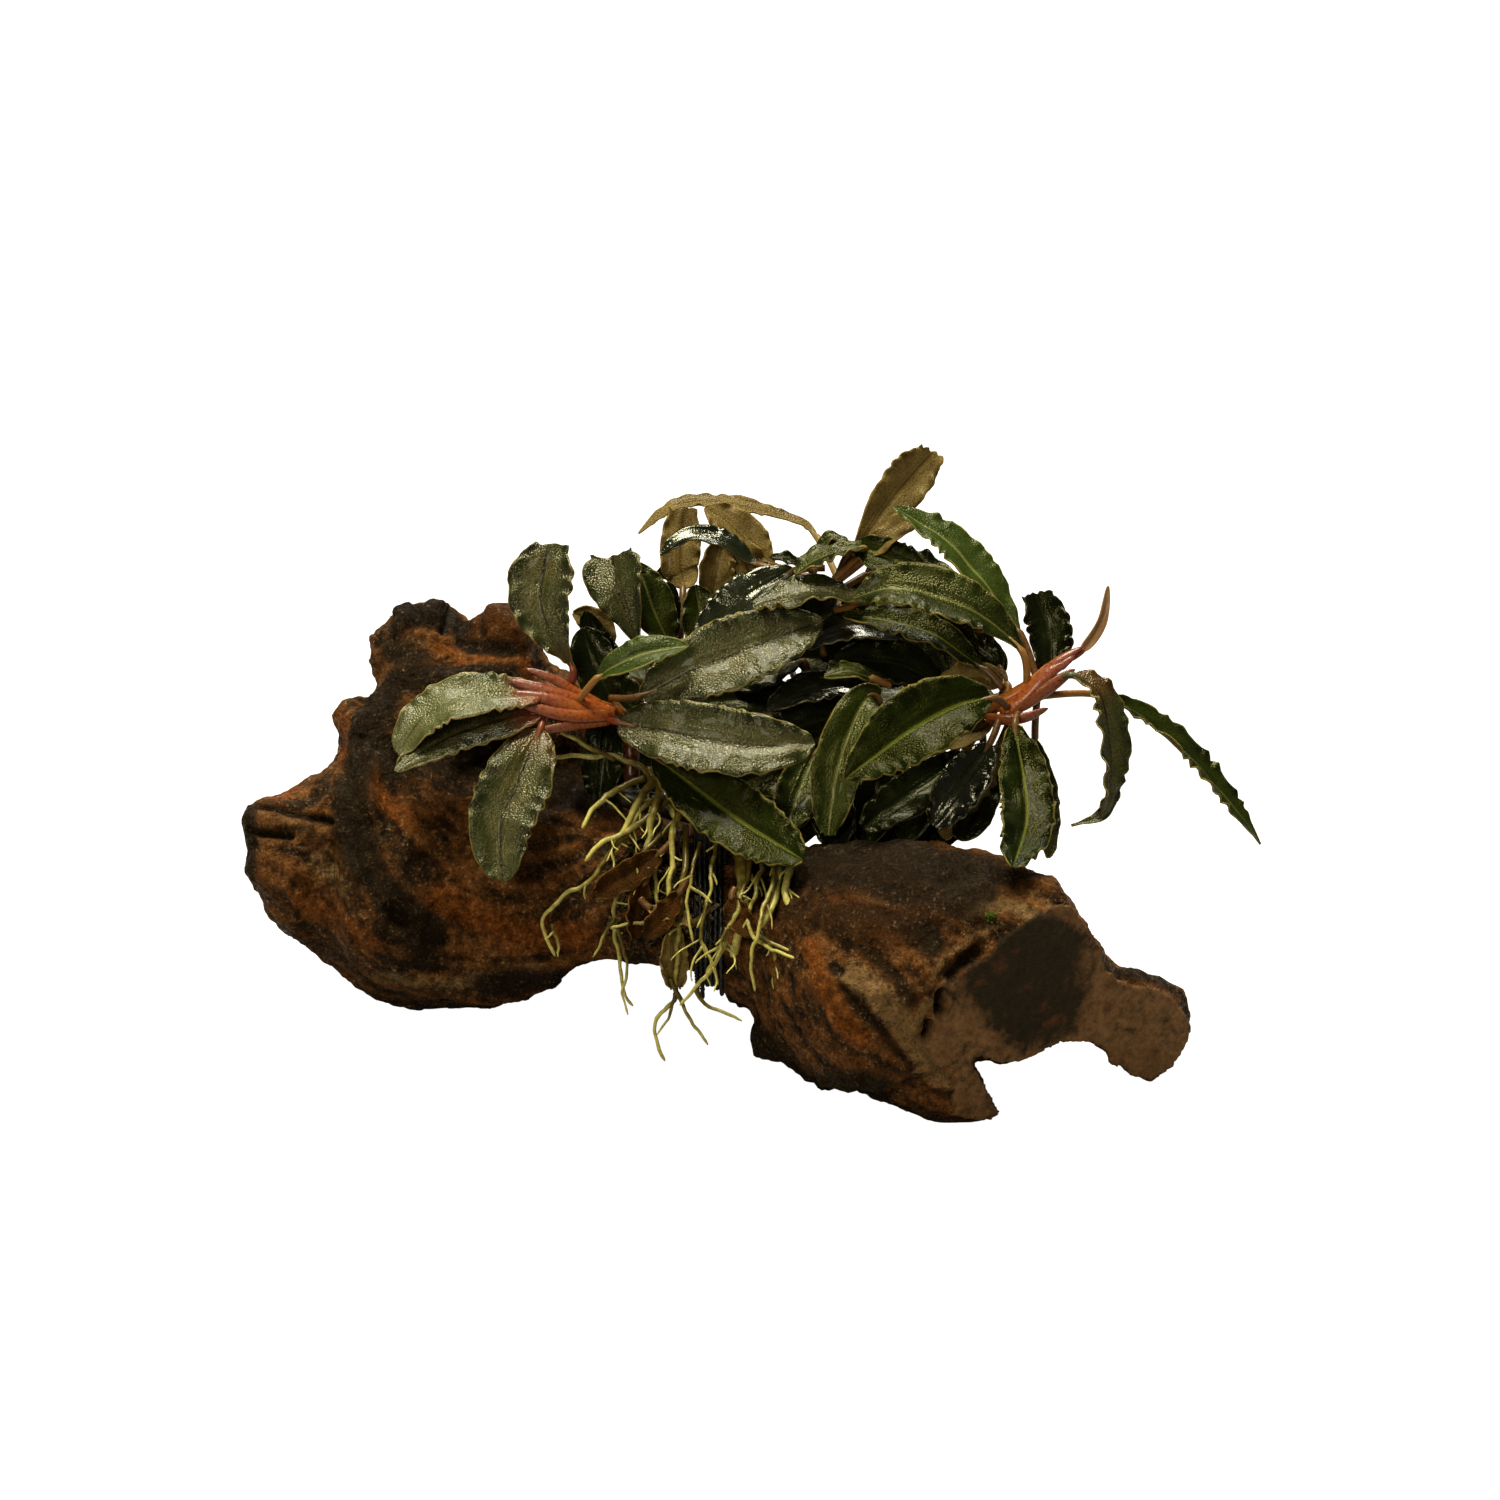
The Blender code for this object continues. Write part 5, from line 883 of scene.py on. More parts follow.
# Width, the way the upper side faces in the usual view, and the points of the usual view
# from the foot of the leaf stalk, through the foot of the blade, to the tip
LEAVES = [
    Leaf("left_1", 13.2, (-0.2, 0.2, 1.0), [
        (-36.4, 87.6, -17.8), (-35.4, 91.6, -16.4), (-39.2, 98.0, -14.6), (-42.0, 106.0, -15.0),
        (-40.2, 116.6, -16.6),
    ]),
    Leaf("left_2", 11.4, (-0.2, 0.65, 0.75), [
        (-36.0, 84.8, -15.6), (-41.0, 86.8, -14.0), (-57.0, 86.2, -10.0), (-65.4, 82.0, -9.4),
        (-70.4, 75.0, -9.0),
    ]),
    Leaf("left_3", 10.0, (-0.2, 0.5, 0.85), [
        (-37.0, 83.4, -16.0), (-41.4, 83.4, -14.0), (-54.0, 80.6, -11.0), (-63.4, 76.4, -8.6),
        (-71.0, 71.4, -6.4),
    ]),
    Leaf("left_4", 14.2, (-0.15, 0.15, 1.0), [
        (-41.0, 83.4, -16.0), (-42.0, 79.6, -12.0), (-45.6, 71.0, -8.0), (-49.8, 60.5, -6.0),
        (-49.4, 49.4, -4.6),
    ]),
    Leaf("left_5", 7.2, (0.0, 0.6, 0.8), [
        (-34.2, 85.6, -14.8), (-30.6, 90.0, -11.4), (-27.0, 92.6, -9.6), (-20.0, 95.4, -9.0),
        (-12.2, 96.4, -9.6),
    ]),
    Leaf("left_6", 15.0, (0.0, 0.35, 1.0), [
        (-28.0, 86.0, -18.2), (-22.0, 86.4, -14.6), (-12.0, 91.2, -13.0), (0.0, 96.0, -13.0),
        (14.4, 101.4, -15.0),
    ]),
    Leaf("left_7", 14.2, (0.0, 0.3, 1.0), [
        (-28.6, 81.6, -17.0), (-26.4, 81.2, -12.8), (-16.0, 79.2, -8.0), (-4.0, 77.0, -5.5),
        (4.0, 76.4, -5.2), (13.0, 77.0, -6.0),
    ]),
    Leaf("left_8", 13.6, (-0.1, 0.35, 1.0), [
        (-24.4, 79.4, -18.6), (-19.4, 74.6, -14.0), (-10.0, 67.4, -9.0), (-1.0, 60.8, -4.0),
        (10.6, 53.6, 4.5),
    ]),
    Leaf("back_1", 12.0, (-0.2, 0.1, 1.0), [
        (-19.2, 92.2, -30.0), (-21.6, 95.0, -26.5), (-24.4, 102.0, -24.6), (-26.8, 108.4, -25.0),
        (-27.6, 114.6, -27.4),
    ]),
    Leaf("back_2", 9.0, (0.3, 0.2, 1.0), [
        (-15.2, 93.2, -32.6), (-16.0, 96.6, -31.4), (-19.4, 104.0, -30.4), (-22.6, 113.0, -31.0),
    ]),
    Leaf("back_3", 11.0, (-0.2, 0.5, 1.0), [
        (15.0, 112.0, -26.8), (9.0, 111.6, -27.0), (5.0, 109.6, -26.0), (0.0, 106.0, -24.4),
        (-6.0, 101.4, -23.2), (-11.4, 97.2, -22.8),
    ]),
    Leaf("back_4", 6.4, (0.0, 0.85, 0.55), [
        (16.2, 109.4, -28.6), (1.8, 112.6, -33.0), (-5.2, 117.2, -32.6), (-12.2, 118.4, -32.0),
        (-18.0, 114.6, -31.6),
    ]),
    Leaf("back_5", 8.6, (0.3, 0.2, 1.0), [
        (18.4, 108.2, -28.4), (5.0, 112.4, -38.0), (-1.0, 118.0, -39.6), (-5.0, 121.6, -40.4),
        (-9.0, 124.2, -41.0),
    ]),
    Leaf("back_6", 8.2, (0.0, 0.1, 1.0), [
        (-14.6, 88.0, -33.2), (-13.4, 108.0, -41.6), (-14.0, 113.0, -42.4), (-13.4, 124.0, -43.4),
    ]),
    Leaf("back_7", 5.0, (0.0, 0.85, 0.5), [
        (19.2, 106.2, -29.6), (13.4, 118.2, -46.0), (8.6, 121.8, -48.4), (0.4, 123.8, -48.5),
        (-5.2, 125.2, -48.5), (-14.8, 124.6, -48.5), (-22.4, 119.0, -48.0),
    ]),
    Leaf("back_8", 6.0, (0.0, 0.5, 1.0), [
        (-19.8, 88.6, -30.4), (-24.0, 90.0, -28.6), (-28.0, 93.0, -28.0), (-31.0, 98.0, -28.4),
        (-33.0, 103.4, -29.0),
    ]),
    Leaf("top_1", 9.4, (0.3, 0.1, 1.0), [
        (17.2, 109.6, -24.8), (21.0, 115.4, -24.6), (27.4, 124.4, -25.0), (31.8, 130.0, -26.0),
        (36.6, 135.2, -27.0),
    ]),
    Leaf("top_2", 6.0, (0.2, 0.8, 0.6), [
        (17.4, 109.2, -24.0), (23.4, 114.0, -21.0), (28.0, 118.6, -20.0), (34.0, 122.6, -21.0),
    ]),
    Leaf("top_3", 7.8, (0.0, 0.8, 0.6), [
        (16.4, 106.6, -26.0), (23.0, 110.6, -28.0), (28.0, 113.0, -28.0), (34.0, 112.6, -27.6),
        (41.0, 109.6, -26.6),
    ]),
    Leaf("top_4", 9.0, (0.0, 0.8, 0.6), [
        (17.0, 103.6, -23.0), (23.4, 105.6, -18.4), (12.0, 107.2, -15.4), (0.6, 104.4, -15.0),
    ]),
    Leaf("top_5", 7.6, (-0.1, 0.9, 0.5), [
        (16.8, 109.8, -23.4), (23.0, 116.0, -20.6), (17.0, 115.4, -18.6), (9.0, 111.0, -17.6),
    ]),
    Leaf("right_1", 14.8, (0.0, 0.35, 1.0), [
        (51.4, 84.2, -8.6), (48.4, 86.0, -5.0), (40.0, 84.0, -2.0), (30.0, 78.0, 0.0),
        (19.0, 69.8, 0.5),
    ]),
    Leaf("right_2", 11.6, (0.1, 0.6, 0.8), [
        (55.4, 88.4, -10.6), (54.4, 95.4, -8.6), (47.0, 102.4, -8.0), (36.0, 107.0, -8.4),
        (28.0, 108.0, -9.0), (20.6, 106.0, -10.4),
    ]),
    Leaf("right_3", 8.0, (0.0, 0.7, 0.7), [
        (50.6, 87.8, -13.2), (47.0, 91.6, -14.6), (38.0, 98.0, -15.6), (30.0, 101.0, -16.4),
        (18.6, 102.6, -17.4),
    ]),
    Leaf("right_4", 9.6, (0.4, 0.55, 0.75), [
        (57.4, 89.6, -12.0), (54.0, 99.0, -14.5), (45.8, 110.4, -15.4), (38.4, 118.4, -16.0),
        (28.6, 124.4, -17.0),
    ]),
    Leaf("right_5", 8.6, (0.1, 0.2, 1.0), [
        (60.6, 89.6, -15.6), (60.2, 91.4, -17.0), (60.0, 99.0, -18.4), (57.2, 106.8, -19.0),
    ]),
    Leaf("right_6", 2.0, (0.1, 0.2, 1.0), [
        (62.0, 92.8, -10.4), (66.4, 95.4, -10.6), (70.4, 101.2, -11.0), (71.6, 108.4, -11.5),
    ]),
    Leaf("right_7", 8.6, (0.65, 0.5, 0.6), [
        (58.0, 88.6, -10.6), (64.6, 90.6, -8.0), (70.0, 87.0, -7.0), (72.2, 79.0, -6.2),
        (72.4, 70.6, -6.0), (70.8, 63.2, -6.6), (64.2, 60.6, -7.2),
    ]),
    Leaf("right_8", 8.0, (0.6, 0.55, 0.5), [
        (55.0, 86.0, -11.6), (70.0, 86.6, -15.6), (82.6, 79.6, -17.6), (93.2, 68.9, -18.4),
        (102.2, 56.8, -19.0),
    ]),
    Leaf("right_9", 10.8, (0.1, 0.3, 1.0), [
        (54.6, 84.6, -11.8), (53.0, 80.6, -7.0), (54.6, 71.6, -2.0), (55.4, 61.6, 5.0),
        (52.6, 52.2, 17.0),
    ]),
    Leaf("right_10", 6.0, (0.3, 0.0, 1.0), [
        (57.4, 85.8, -13.2), (57.0, 78.0, -17.0), (58.0, 70.0, -19.0), (59.4, 61.0, -19.0),
        (59.8, 54.0, -19.0),
    ]),
    Leaf("right_11", 10.0, (-0.15, 0.1, 1.0), [
        (27.0, 77.0, -19.4), (25.6, 86.0, -14.6), (22.0, 84.0, -10.6), (17.6, 72.0, -7.0),
        (15.6, 58.6, -5.4),
    ]),
    Leaf("right_12", 9.0, (0.0, 0.3, 1.0), [
        (46.4, 80.4, -14.6), (42.6, 75.0, -12.0), (36.0, 69.4, -10.0), (28.0, 64.0, -8.0),
        (22.6, 60.0, -7.4),
    ]),
    Leaf("right_13", 9.0, (0.1, 0.3, 1.0), [
        (49.8, 81.6, -10.4), (48.0, 77.0, -8.6), (43.0, 69.6, -7.0), (36.6, 60.4, -5.6),
    ]),
    Leaf("right_14", 6.4, (1.0, 0.1, 0.8), [
        (52.4, 82.4, -13.8), (50.0, 77.0, -14.0), (46.6, 70.0, -13.4), (43.6, 63.0, -13.0),
    ]),
    Leaf("middle_1", 10.0, (0.0, 0.8, 0.6), [
        (31.4, 79.2, -19.2), (31.6, 96.0, -23.0), (24.0, 100.0, -21.4), (17.0, 99.4, -20.4),
        (9.0, 96.0, -20.2),
    ]),
    Leaf("middle_2", 8.4, (0.0, 0.7, 0.7), [
        (22.4, 74.6, -19.8), (22.4, 87.0, -22.0), (14.0, 88.0, -19.0), (3.4, 84.0, -17.0),
    ]),
    Leaf("middle_3", 8.0, (0.0, 0.6, 0.8), [
        (11.4, 89.2, -24.8), (10.6, 93.4, -24.0), (5.0, 92.0, -22.6), (-3.4, 88.0, -22.0),
    ]),
    Leaf("middle_4", 8.0, (0.1, 0.4, 1.0), [
        (-13.8, 90.0, -31.8), (-11.4, 94.4, -32.6), (-9.6, 100.0, -33.0), (-11.0, 108.6, -34.0),
    ]),
    Leaf("middle_5", 10.5, (0.0, 0.2, 1.0), [
        (40.0, 82.8, -17.8), (40.4, 88.0, -24.0), (37.0, 96.0, -28.0), (30.0, 105.0, -31.0),
    ]),
    Leaf("middle_6", 9.0, (0.0, 0.2, 1.0), [
        (15.0, 70.6, -19.6), (13.6, 75.4, -16.4), (10.4, 69.0, -12.0), (7.0, 58.6, -5.6),
    ]),
    Leaf("rear_1", 10.0, (0.0, 1.0, -0.2), [
        (-18.6, 86.0, -33.0), (-21.0, 88.0, -40.0), (-24.0, 92.0, -50.0), (-25.0, 93.0, -62.0),
    ]),
    Leaf("rear_2", 12.0, (0.0, 1.0, -0.2), [
        (10.2, 86.0, -30.2), (8.0, 92.0, -38.0), (4.0, 97.0, -50.0), (1.0, 97.0, -62.0),
    ]),
    Leaf("rear_3", 12.0, (0.0, 1.0, -0.2), [
        (24.0, 72.0, -20.6), (27.0, 80.0, -30.0), (32.0, 88.0, -42.0), (36.0, 90.0, -56.0),
    ]),
]

# Small leaves between the others, which have no solids
SMALL_LEAVES = [
    Leaf("small_1", 4.2, (0.0, 0.9, 0.5), [
        (13.4, 111.0, -24.0), (11.4, 112.0, -24.0), (8.0, 113.6, -24.0), (4.2, 114.2, -24.0),
    ]),
    Leaf("small_2", 4.2, (0.0, 0.9, 0.4), [
        (20.8, 111.6, -24.6), (19.6, 116.0, -23.0), (16.6, 118.0, -22.6), (12.6, 115.0, -22.6),
    ]),
    Leaf("small_37", 7.4, (0.0, 0.4, 1.0), [
        (17.0, 108.6, -24.0), (20.4, 115.6, -22.0), (27.0, 114.4, -19.0), (35.0, 110.6, -17.4),
    ]),
    Leaf("small_3", 7.0, (0.2, 0.1, 1.0), [
        (-8.0, 102.0, -38.0), (-7.6, 105.0, -38.0), (-7.0, 110.0, -38.0), (-5.2, 117.8, -38.0),
    ]),
    Leaf("small_4", 7.0, (0.0, 0.2, 1.0), [
        (51.0, 86.0, -13.0), (50.0, 92.0, -18.0), (46.0, 95.0, -20.0), (39.0, 100.4, -21.0),
    ]),
    Leaf("small_5", 5.0, (0.2, 0.8, 0.6), [
        (28.0, 88.6, -18.0), (24.4, 90.0, -16.0), (20.0, 91.4, -15.4), (14.8, 90.4, -15.0),
    ]),
    Leaf("small_6", 9.0, (-0.1, 0.4, 1.0), [
        (-24.0, 82.0, -23.0), (-27.4, 85.6, -23.4), (-31.0, 92.6, -23.0), (-33.4, 100.0, -24.0),
    ]),
    Leaf("small_7", 6.0, (0.0, 0.3, 1.0), [
        (-24.0, 92.0, -30.0), (-27.4, 96.6, -31.6), (-31.0, 101.0, -32.4), (-35.4, 103.0, -33.0),
    ]),
    Leaf("small_8", 10.0, (0.0, 0.5, 1.0), [
        (44.0, 84.0, -21.0), (39.0, 88.0, -21.6), (30.0, 92.6, -21.0), (17.0, 94.0, -19.6),
    ]),
    Leaf("small_9", 9.0, (0.1, 0.2, 1.0), [
        (40.0, 79.0, -19.0), (38.0, 75.0, -17.0), (34.0, 68.0, -15.0), (31.0, 57.4, -14.0),
    ]),
    Leaf("small_10", 8.0, (0.4, 0.2, 1.0), [
        (44.0, 79.6, -19.0), (43.0, 75.0, -18.0), (40.4, 68.0, -16.6), (39.0, 57.8, -16.0),
    ]),
    Leaf("small_11", 9.0, (-0.2, 0.3, 1.0), [
        (24.0, 75.0, -22.0), (25.0, 74.0, -19.0), (25.4, 67.0, -15.0), (23.0, 56.4, -12.0),
    ]),
    Leaf("small_12", 10.0, (0.0, 0.3, 1.0), [
        (-16.0, 88.0, -34.0), (-12.0, 91.0, -37.0), (-6.0, 98.0, -38.0), (1.0, 107.0, -38.6),
    ]),
    Leaf("small_13", 9.0, (0.0, 0.3, 1.0), [
        (12.0, 92.0, -30.0), (10.0, 97.0, -31.0), (7.0, 103.0, -31.6), (4.0, 110.0, -32.0),
    ]),
    Leaf("small_14", 10.0, (0.1, 0.3, 1.0), [
        (14.0, 98.0, -30.0), (19.0, 101.0, -33.0), (24.0, 105.0, -34.0), (31.0, 108.0, -35.0),
    ]),
    Leaf("small_15", 10.0, (0.0, 0.3, 1.0), [
        (12.0, 68.0, -20.0), (10.0, 72.0, -21.0), (4.0, 71.0, -19.0), (-3.0, 68.0, -16.4),
    ]),
    Leaf("small_16", 8.0, (0.0, 1.0, -0.2), [
        (-15.0, 84.0, -31.0), (-12.0, 88.0, -42.0), (-11.0, 92.0, -52.0), (-12.0, 93.0, -62.0),
    ]),
    Leaf("small_17", 9.0, (0.2, 1.0, -0.3), [
        (33.0, 77.0, -19.0), (40.0, 82.0, -28.0), (46.0, 86.0, -38.0), (52.0, 86.0, -50.0),
    ]),
    Leaf("small_18", 8.0, (-0.1, 1.0, -0.3), [
        (14.0, 98.0, -28.0), (16.0, 104.0, -38.0), (18.0, 108.0, -50.0), (18.0, 108.0, -60.0),
    ]),
    Leaf("small_19", 12.0, (0.0, 0.3, 1.0), [
        (25.0, 74.0, -22.0), (20.0, 72.0, -24.0), (12.0, 65.0, -25.0), (5.0, 56.0, -25.0),
    ]),
    Leaf("small_20", 12.0, (0.1, 0.2, 1.0), [
        (30.0, 76.0, -22.0), (28.0, 72.0, -23.0), (25.0, 64.0, -24.0), (21.0, 54.0, -24.0),
    ]),
    Leaf("small_21", 11.0, (0.0, 0.2, 1.0), [
        (37.0, 78.0, -22.0), (35.0, 72.0, -23.0), (33.0, 65.0, -24.0), (32.0, 55.0, -24.0),
    ]),
    Leaf("small_22", 9.0, (-0.2, 0.2, 1.0), [
        (42.0, 80.0, -21.0), (41.0, 74.0, -22.0), (39.4, 67.0, -23.0), (38.6, 56.0, -23.0),
    ]),
    Leaf("small_23", 9.0, (0.0, 0.5, 1.0), [
        (-20.0, 80.0, -25.0), (-22.0, 83.0, -25.6), (-27.0, 87.0, -26.0), (-34.0, 89.0, -26.6),
    ]),
    Leaf("small_24", 11.0, (0.0, 0.5, 1.0), [
        (14.0, 80.0, -24.0), (10.0, 84.0, -23.4), (2.0, 86.0, -22.0), (-12.0, 85.0, -20.0),
    ]),
    Leaf("small_25", 12.0, (0.0, 0.4, 1.0), [
        (28.0, 80.0, -23.0), (24.0, 82.0, -22.6), (15.0, 82.0, -20.6), (3.0, 77.0, -18.0),
    ]),
    Leaf("small_26", 11.0, (0.0, 0.4, 1.0), [
        (34.0, 86.0, -25.0), (31.0, 89.0, -26.0), (23.0, 93.0, -26.0), (9.0, 94.0, -26.0),
    ]),
    Leaf("small_27", 12.0, (0.1, 0.2, 1.0), [
        (-17.0, 86.0, -31.0), (-19.0, 84.0, -31.0), (-22.0, 77.0, -29.6), (-24.0, 64.0, -28.0),
    ]),
    Leaf("small_28", 9.0, (-0.2, 0.2, 1.0), [
        (-26.0, 86.0, -28.0), (-28.0, 84.0, -28.6), (-29.0, 76.0, -28.0), (-30.0, 65.0, -27.0),
    ]),
    Leaf("small_29", 8.0, (0.1, 0.2, 1.0), [
        (3.0, 102.0, -38.0), (2.0, 105.0, -39.0), (0.0, 110.0, -39.0), (-2.0, 117.6, -39.0),
    ]),
    Leaf("small_30", 8.6, (0.0, 0.3, 1.0), [
        (15.0, 94.0, -26.0), (14.0, 97.0, -27.0), (12.0, 103.0, -27.0), (9.0, 109.4, -27.0),
    ]),
    Leaf("small_31", 8.0, (0.0, 0.4, 1.0), [
        (50.0, 85.4, -12.6), (50.6, 91.0, -18.6), (44.0, 97.0, -21.0), (36.0, 102.4, -22.0),
    ]),
    Leaf("small_32", 6.6, (0.0, 0.5, 1.0), [
        (51.0, 86.0, -12.0), (51.4, 88.8, -14.6), (46.0, 90.0, -15.6), (38.0, 90.0, -17.0),
    ]),
    Leaf("small_33", 5.4, (0.0, 0.6, 1.0), [
        (51.0, 83.0, -13.6), (48.6, 81.0, -13.4), (44.0, 79.0, -13.0), (37.0, 76.6, -12.6),
    ]),
    Leaf("small_34", 6.0, (0.2, 0.2, 1.0), [
        (-15.0, 92.0, -33.0), (-16.0, 96.0, -34.0), (-17.0, 102.0, -35.0), (-16.0, 109.0, -36.0),
    ]),
    Leaf("small_35", 5.0, (0.3, 0.3, 1.0), [
        (46.0, 99.0, -17.0), (45.0, 102.0, -17.6), (40.0, 108.0, -18.0), (33.0, 113.0, -18.6),
    ]),
    Leaf("small_38", 9.0, (0.2, 0.2, 1.0), [
        (46.4, 81.0, -17.4), (46.6, 75.0, -16.6), (45.4, 66.4, -14.6), (42.0, 57.6, -12.6),
    ]),
    Leaf("small_39", 9.0, (-0.2, 0.3, 1.0), [
        (12.0, 70.0, -19.4), (15.0, 67.4, -16.0), (17.0, 61.0, -10.0), (17.0, 55.4, -7.0),
    ]),
    Leaf("small_40", 7.0, (0.0, 0.3, 1.0), [
        (27.0, 78.0, -20.4), (28.0, 75.4, -20.0), (31.0, 70.4, -19.0), (36.0, 65.4, -18.0),
    ]),
    Leaf("rotten_1", 5.6, (0.3, 0.5, 1.0), [
        (-16.0, 57.0, -10.0), (-18.0, 55.0, -9.4), (-24.0, 50.6, -8.6), (-31.0, 46.6, -9.4),
    ]),
    Leaf("rotten_2", 5.0, (-0.4, 0.2, 1.0), [
        (-12.0, 50.0, -5.0), (-14.0, 47.0, -4.6), (-17.0, 42.0, -4.4), (-21.0, 38.4, -6.4),
    ]),
    Leaf("rotten_3", 5.4, (0.2, -0.2, 1.0), [
        (-14.0, 42.0, -5.6), (-15.0, 40.0, -5.6), (-15.4, 34.4, -7.6), (-14.8, 28.0, -10.6),
    ]),
    Leaf("rotten_4", 4.6, (0.5, 0.4, 1.0), [
        (-20.0, 52.0, -9.0), (-21.0, 49.0, -8.4), (-22.6, 44.0, -8.4), (-23.0, 38.0, -10.4),
    ]),
    Leaf("rotten_5", 4.0, (0.0, 0.6, 1.0), [
        (-22.0, 46.0, -8.0), (-20.0, 44.0, -7.6), (-15.6, 42.6, -5.6), (-11.6, 40.6, -3.6),
    ]),
    Leaf("rotten_6", 5.0, (-0.2, 0.1, 1.0), [
        (-3.0, 48.0, -2.0), (-3.6, 46.0, -1.0), (-2.0, 42.0, 1.0), (1.6, 38.6, 3.0),
    ]),
    Leaf("small_36", 8.0, (0.1, 0.2, 1.0), [
        (-12.0, 84.0, -33.0), (-10.0, 86.0, -34.0), (-5.0, 90.0, -35.0), (2.0, 96.0, -36.0),
    ]),
]

Look = namedtuple(
    "Look", "skin stalk silver ruffle fold foot peak tip end",
    defaults=("olive", "amber", 0.5, 1.0, 1.0, 0.6, 0.5, 0.55, 0.0),
)
ROTTEN_SKINS = ["rotten", "rotten", "bronze", "rotten", "bronze", "rotten"]
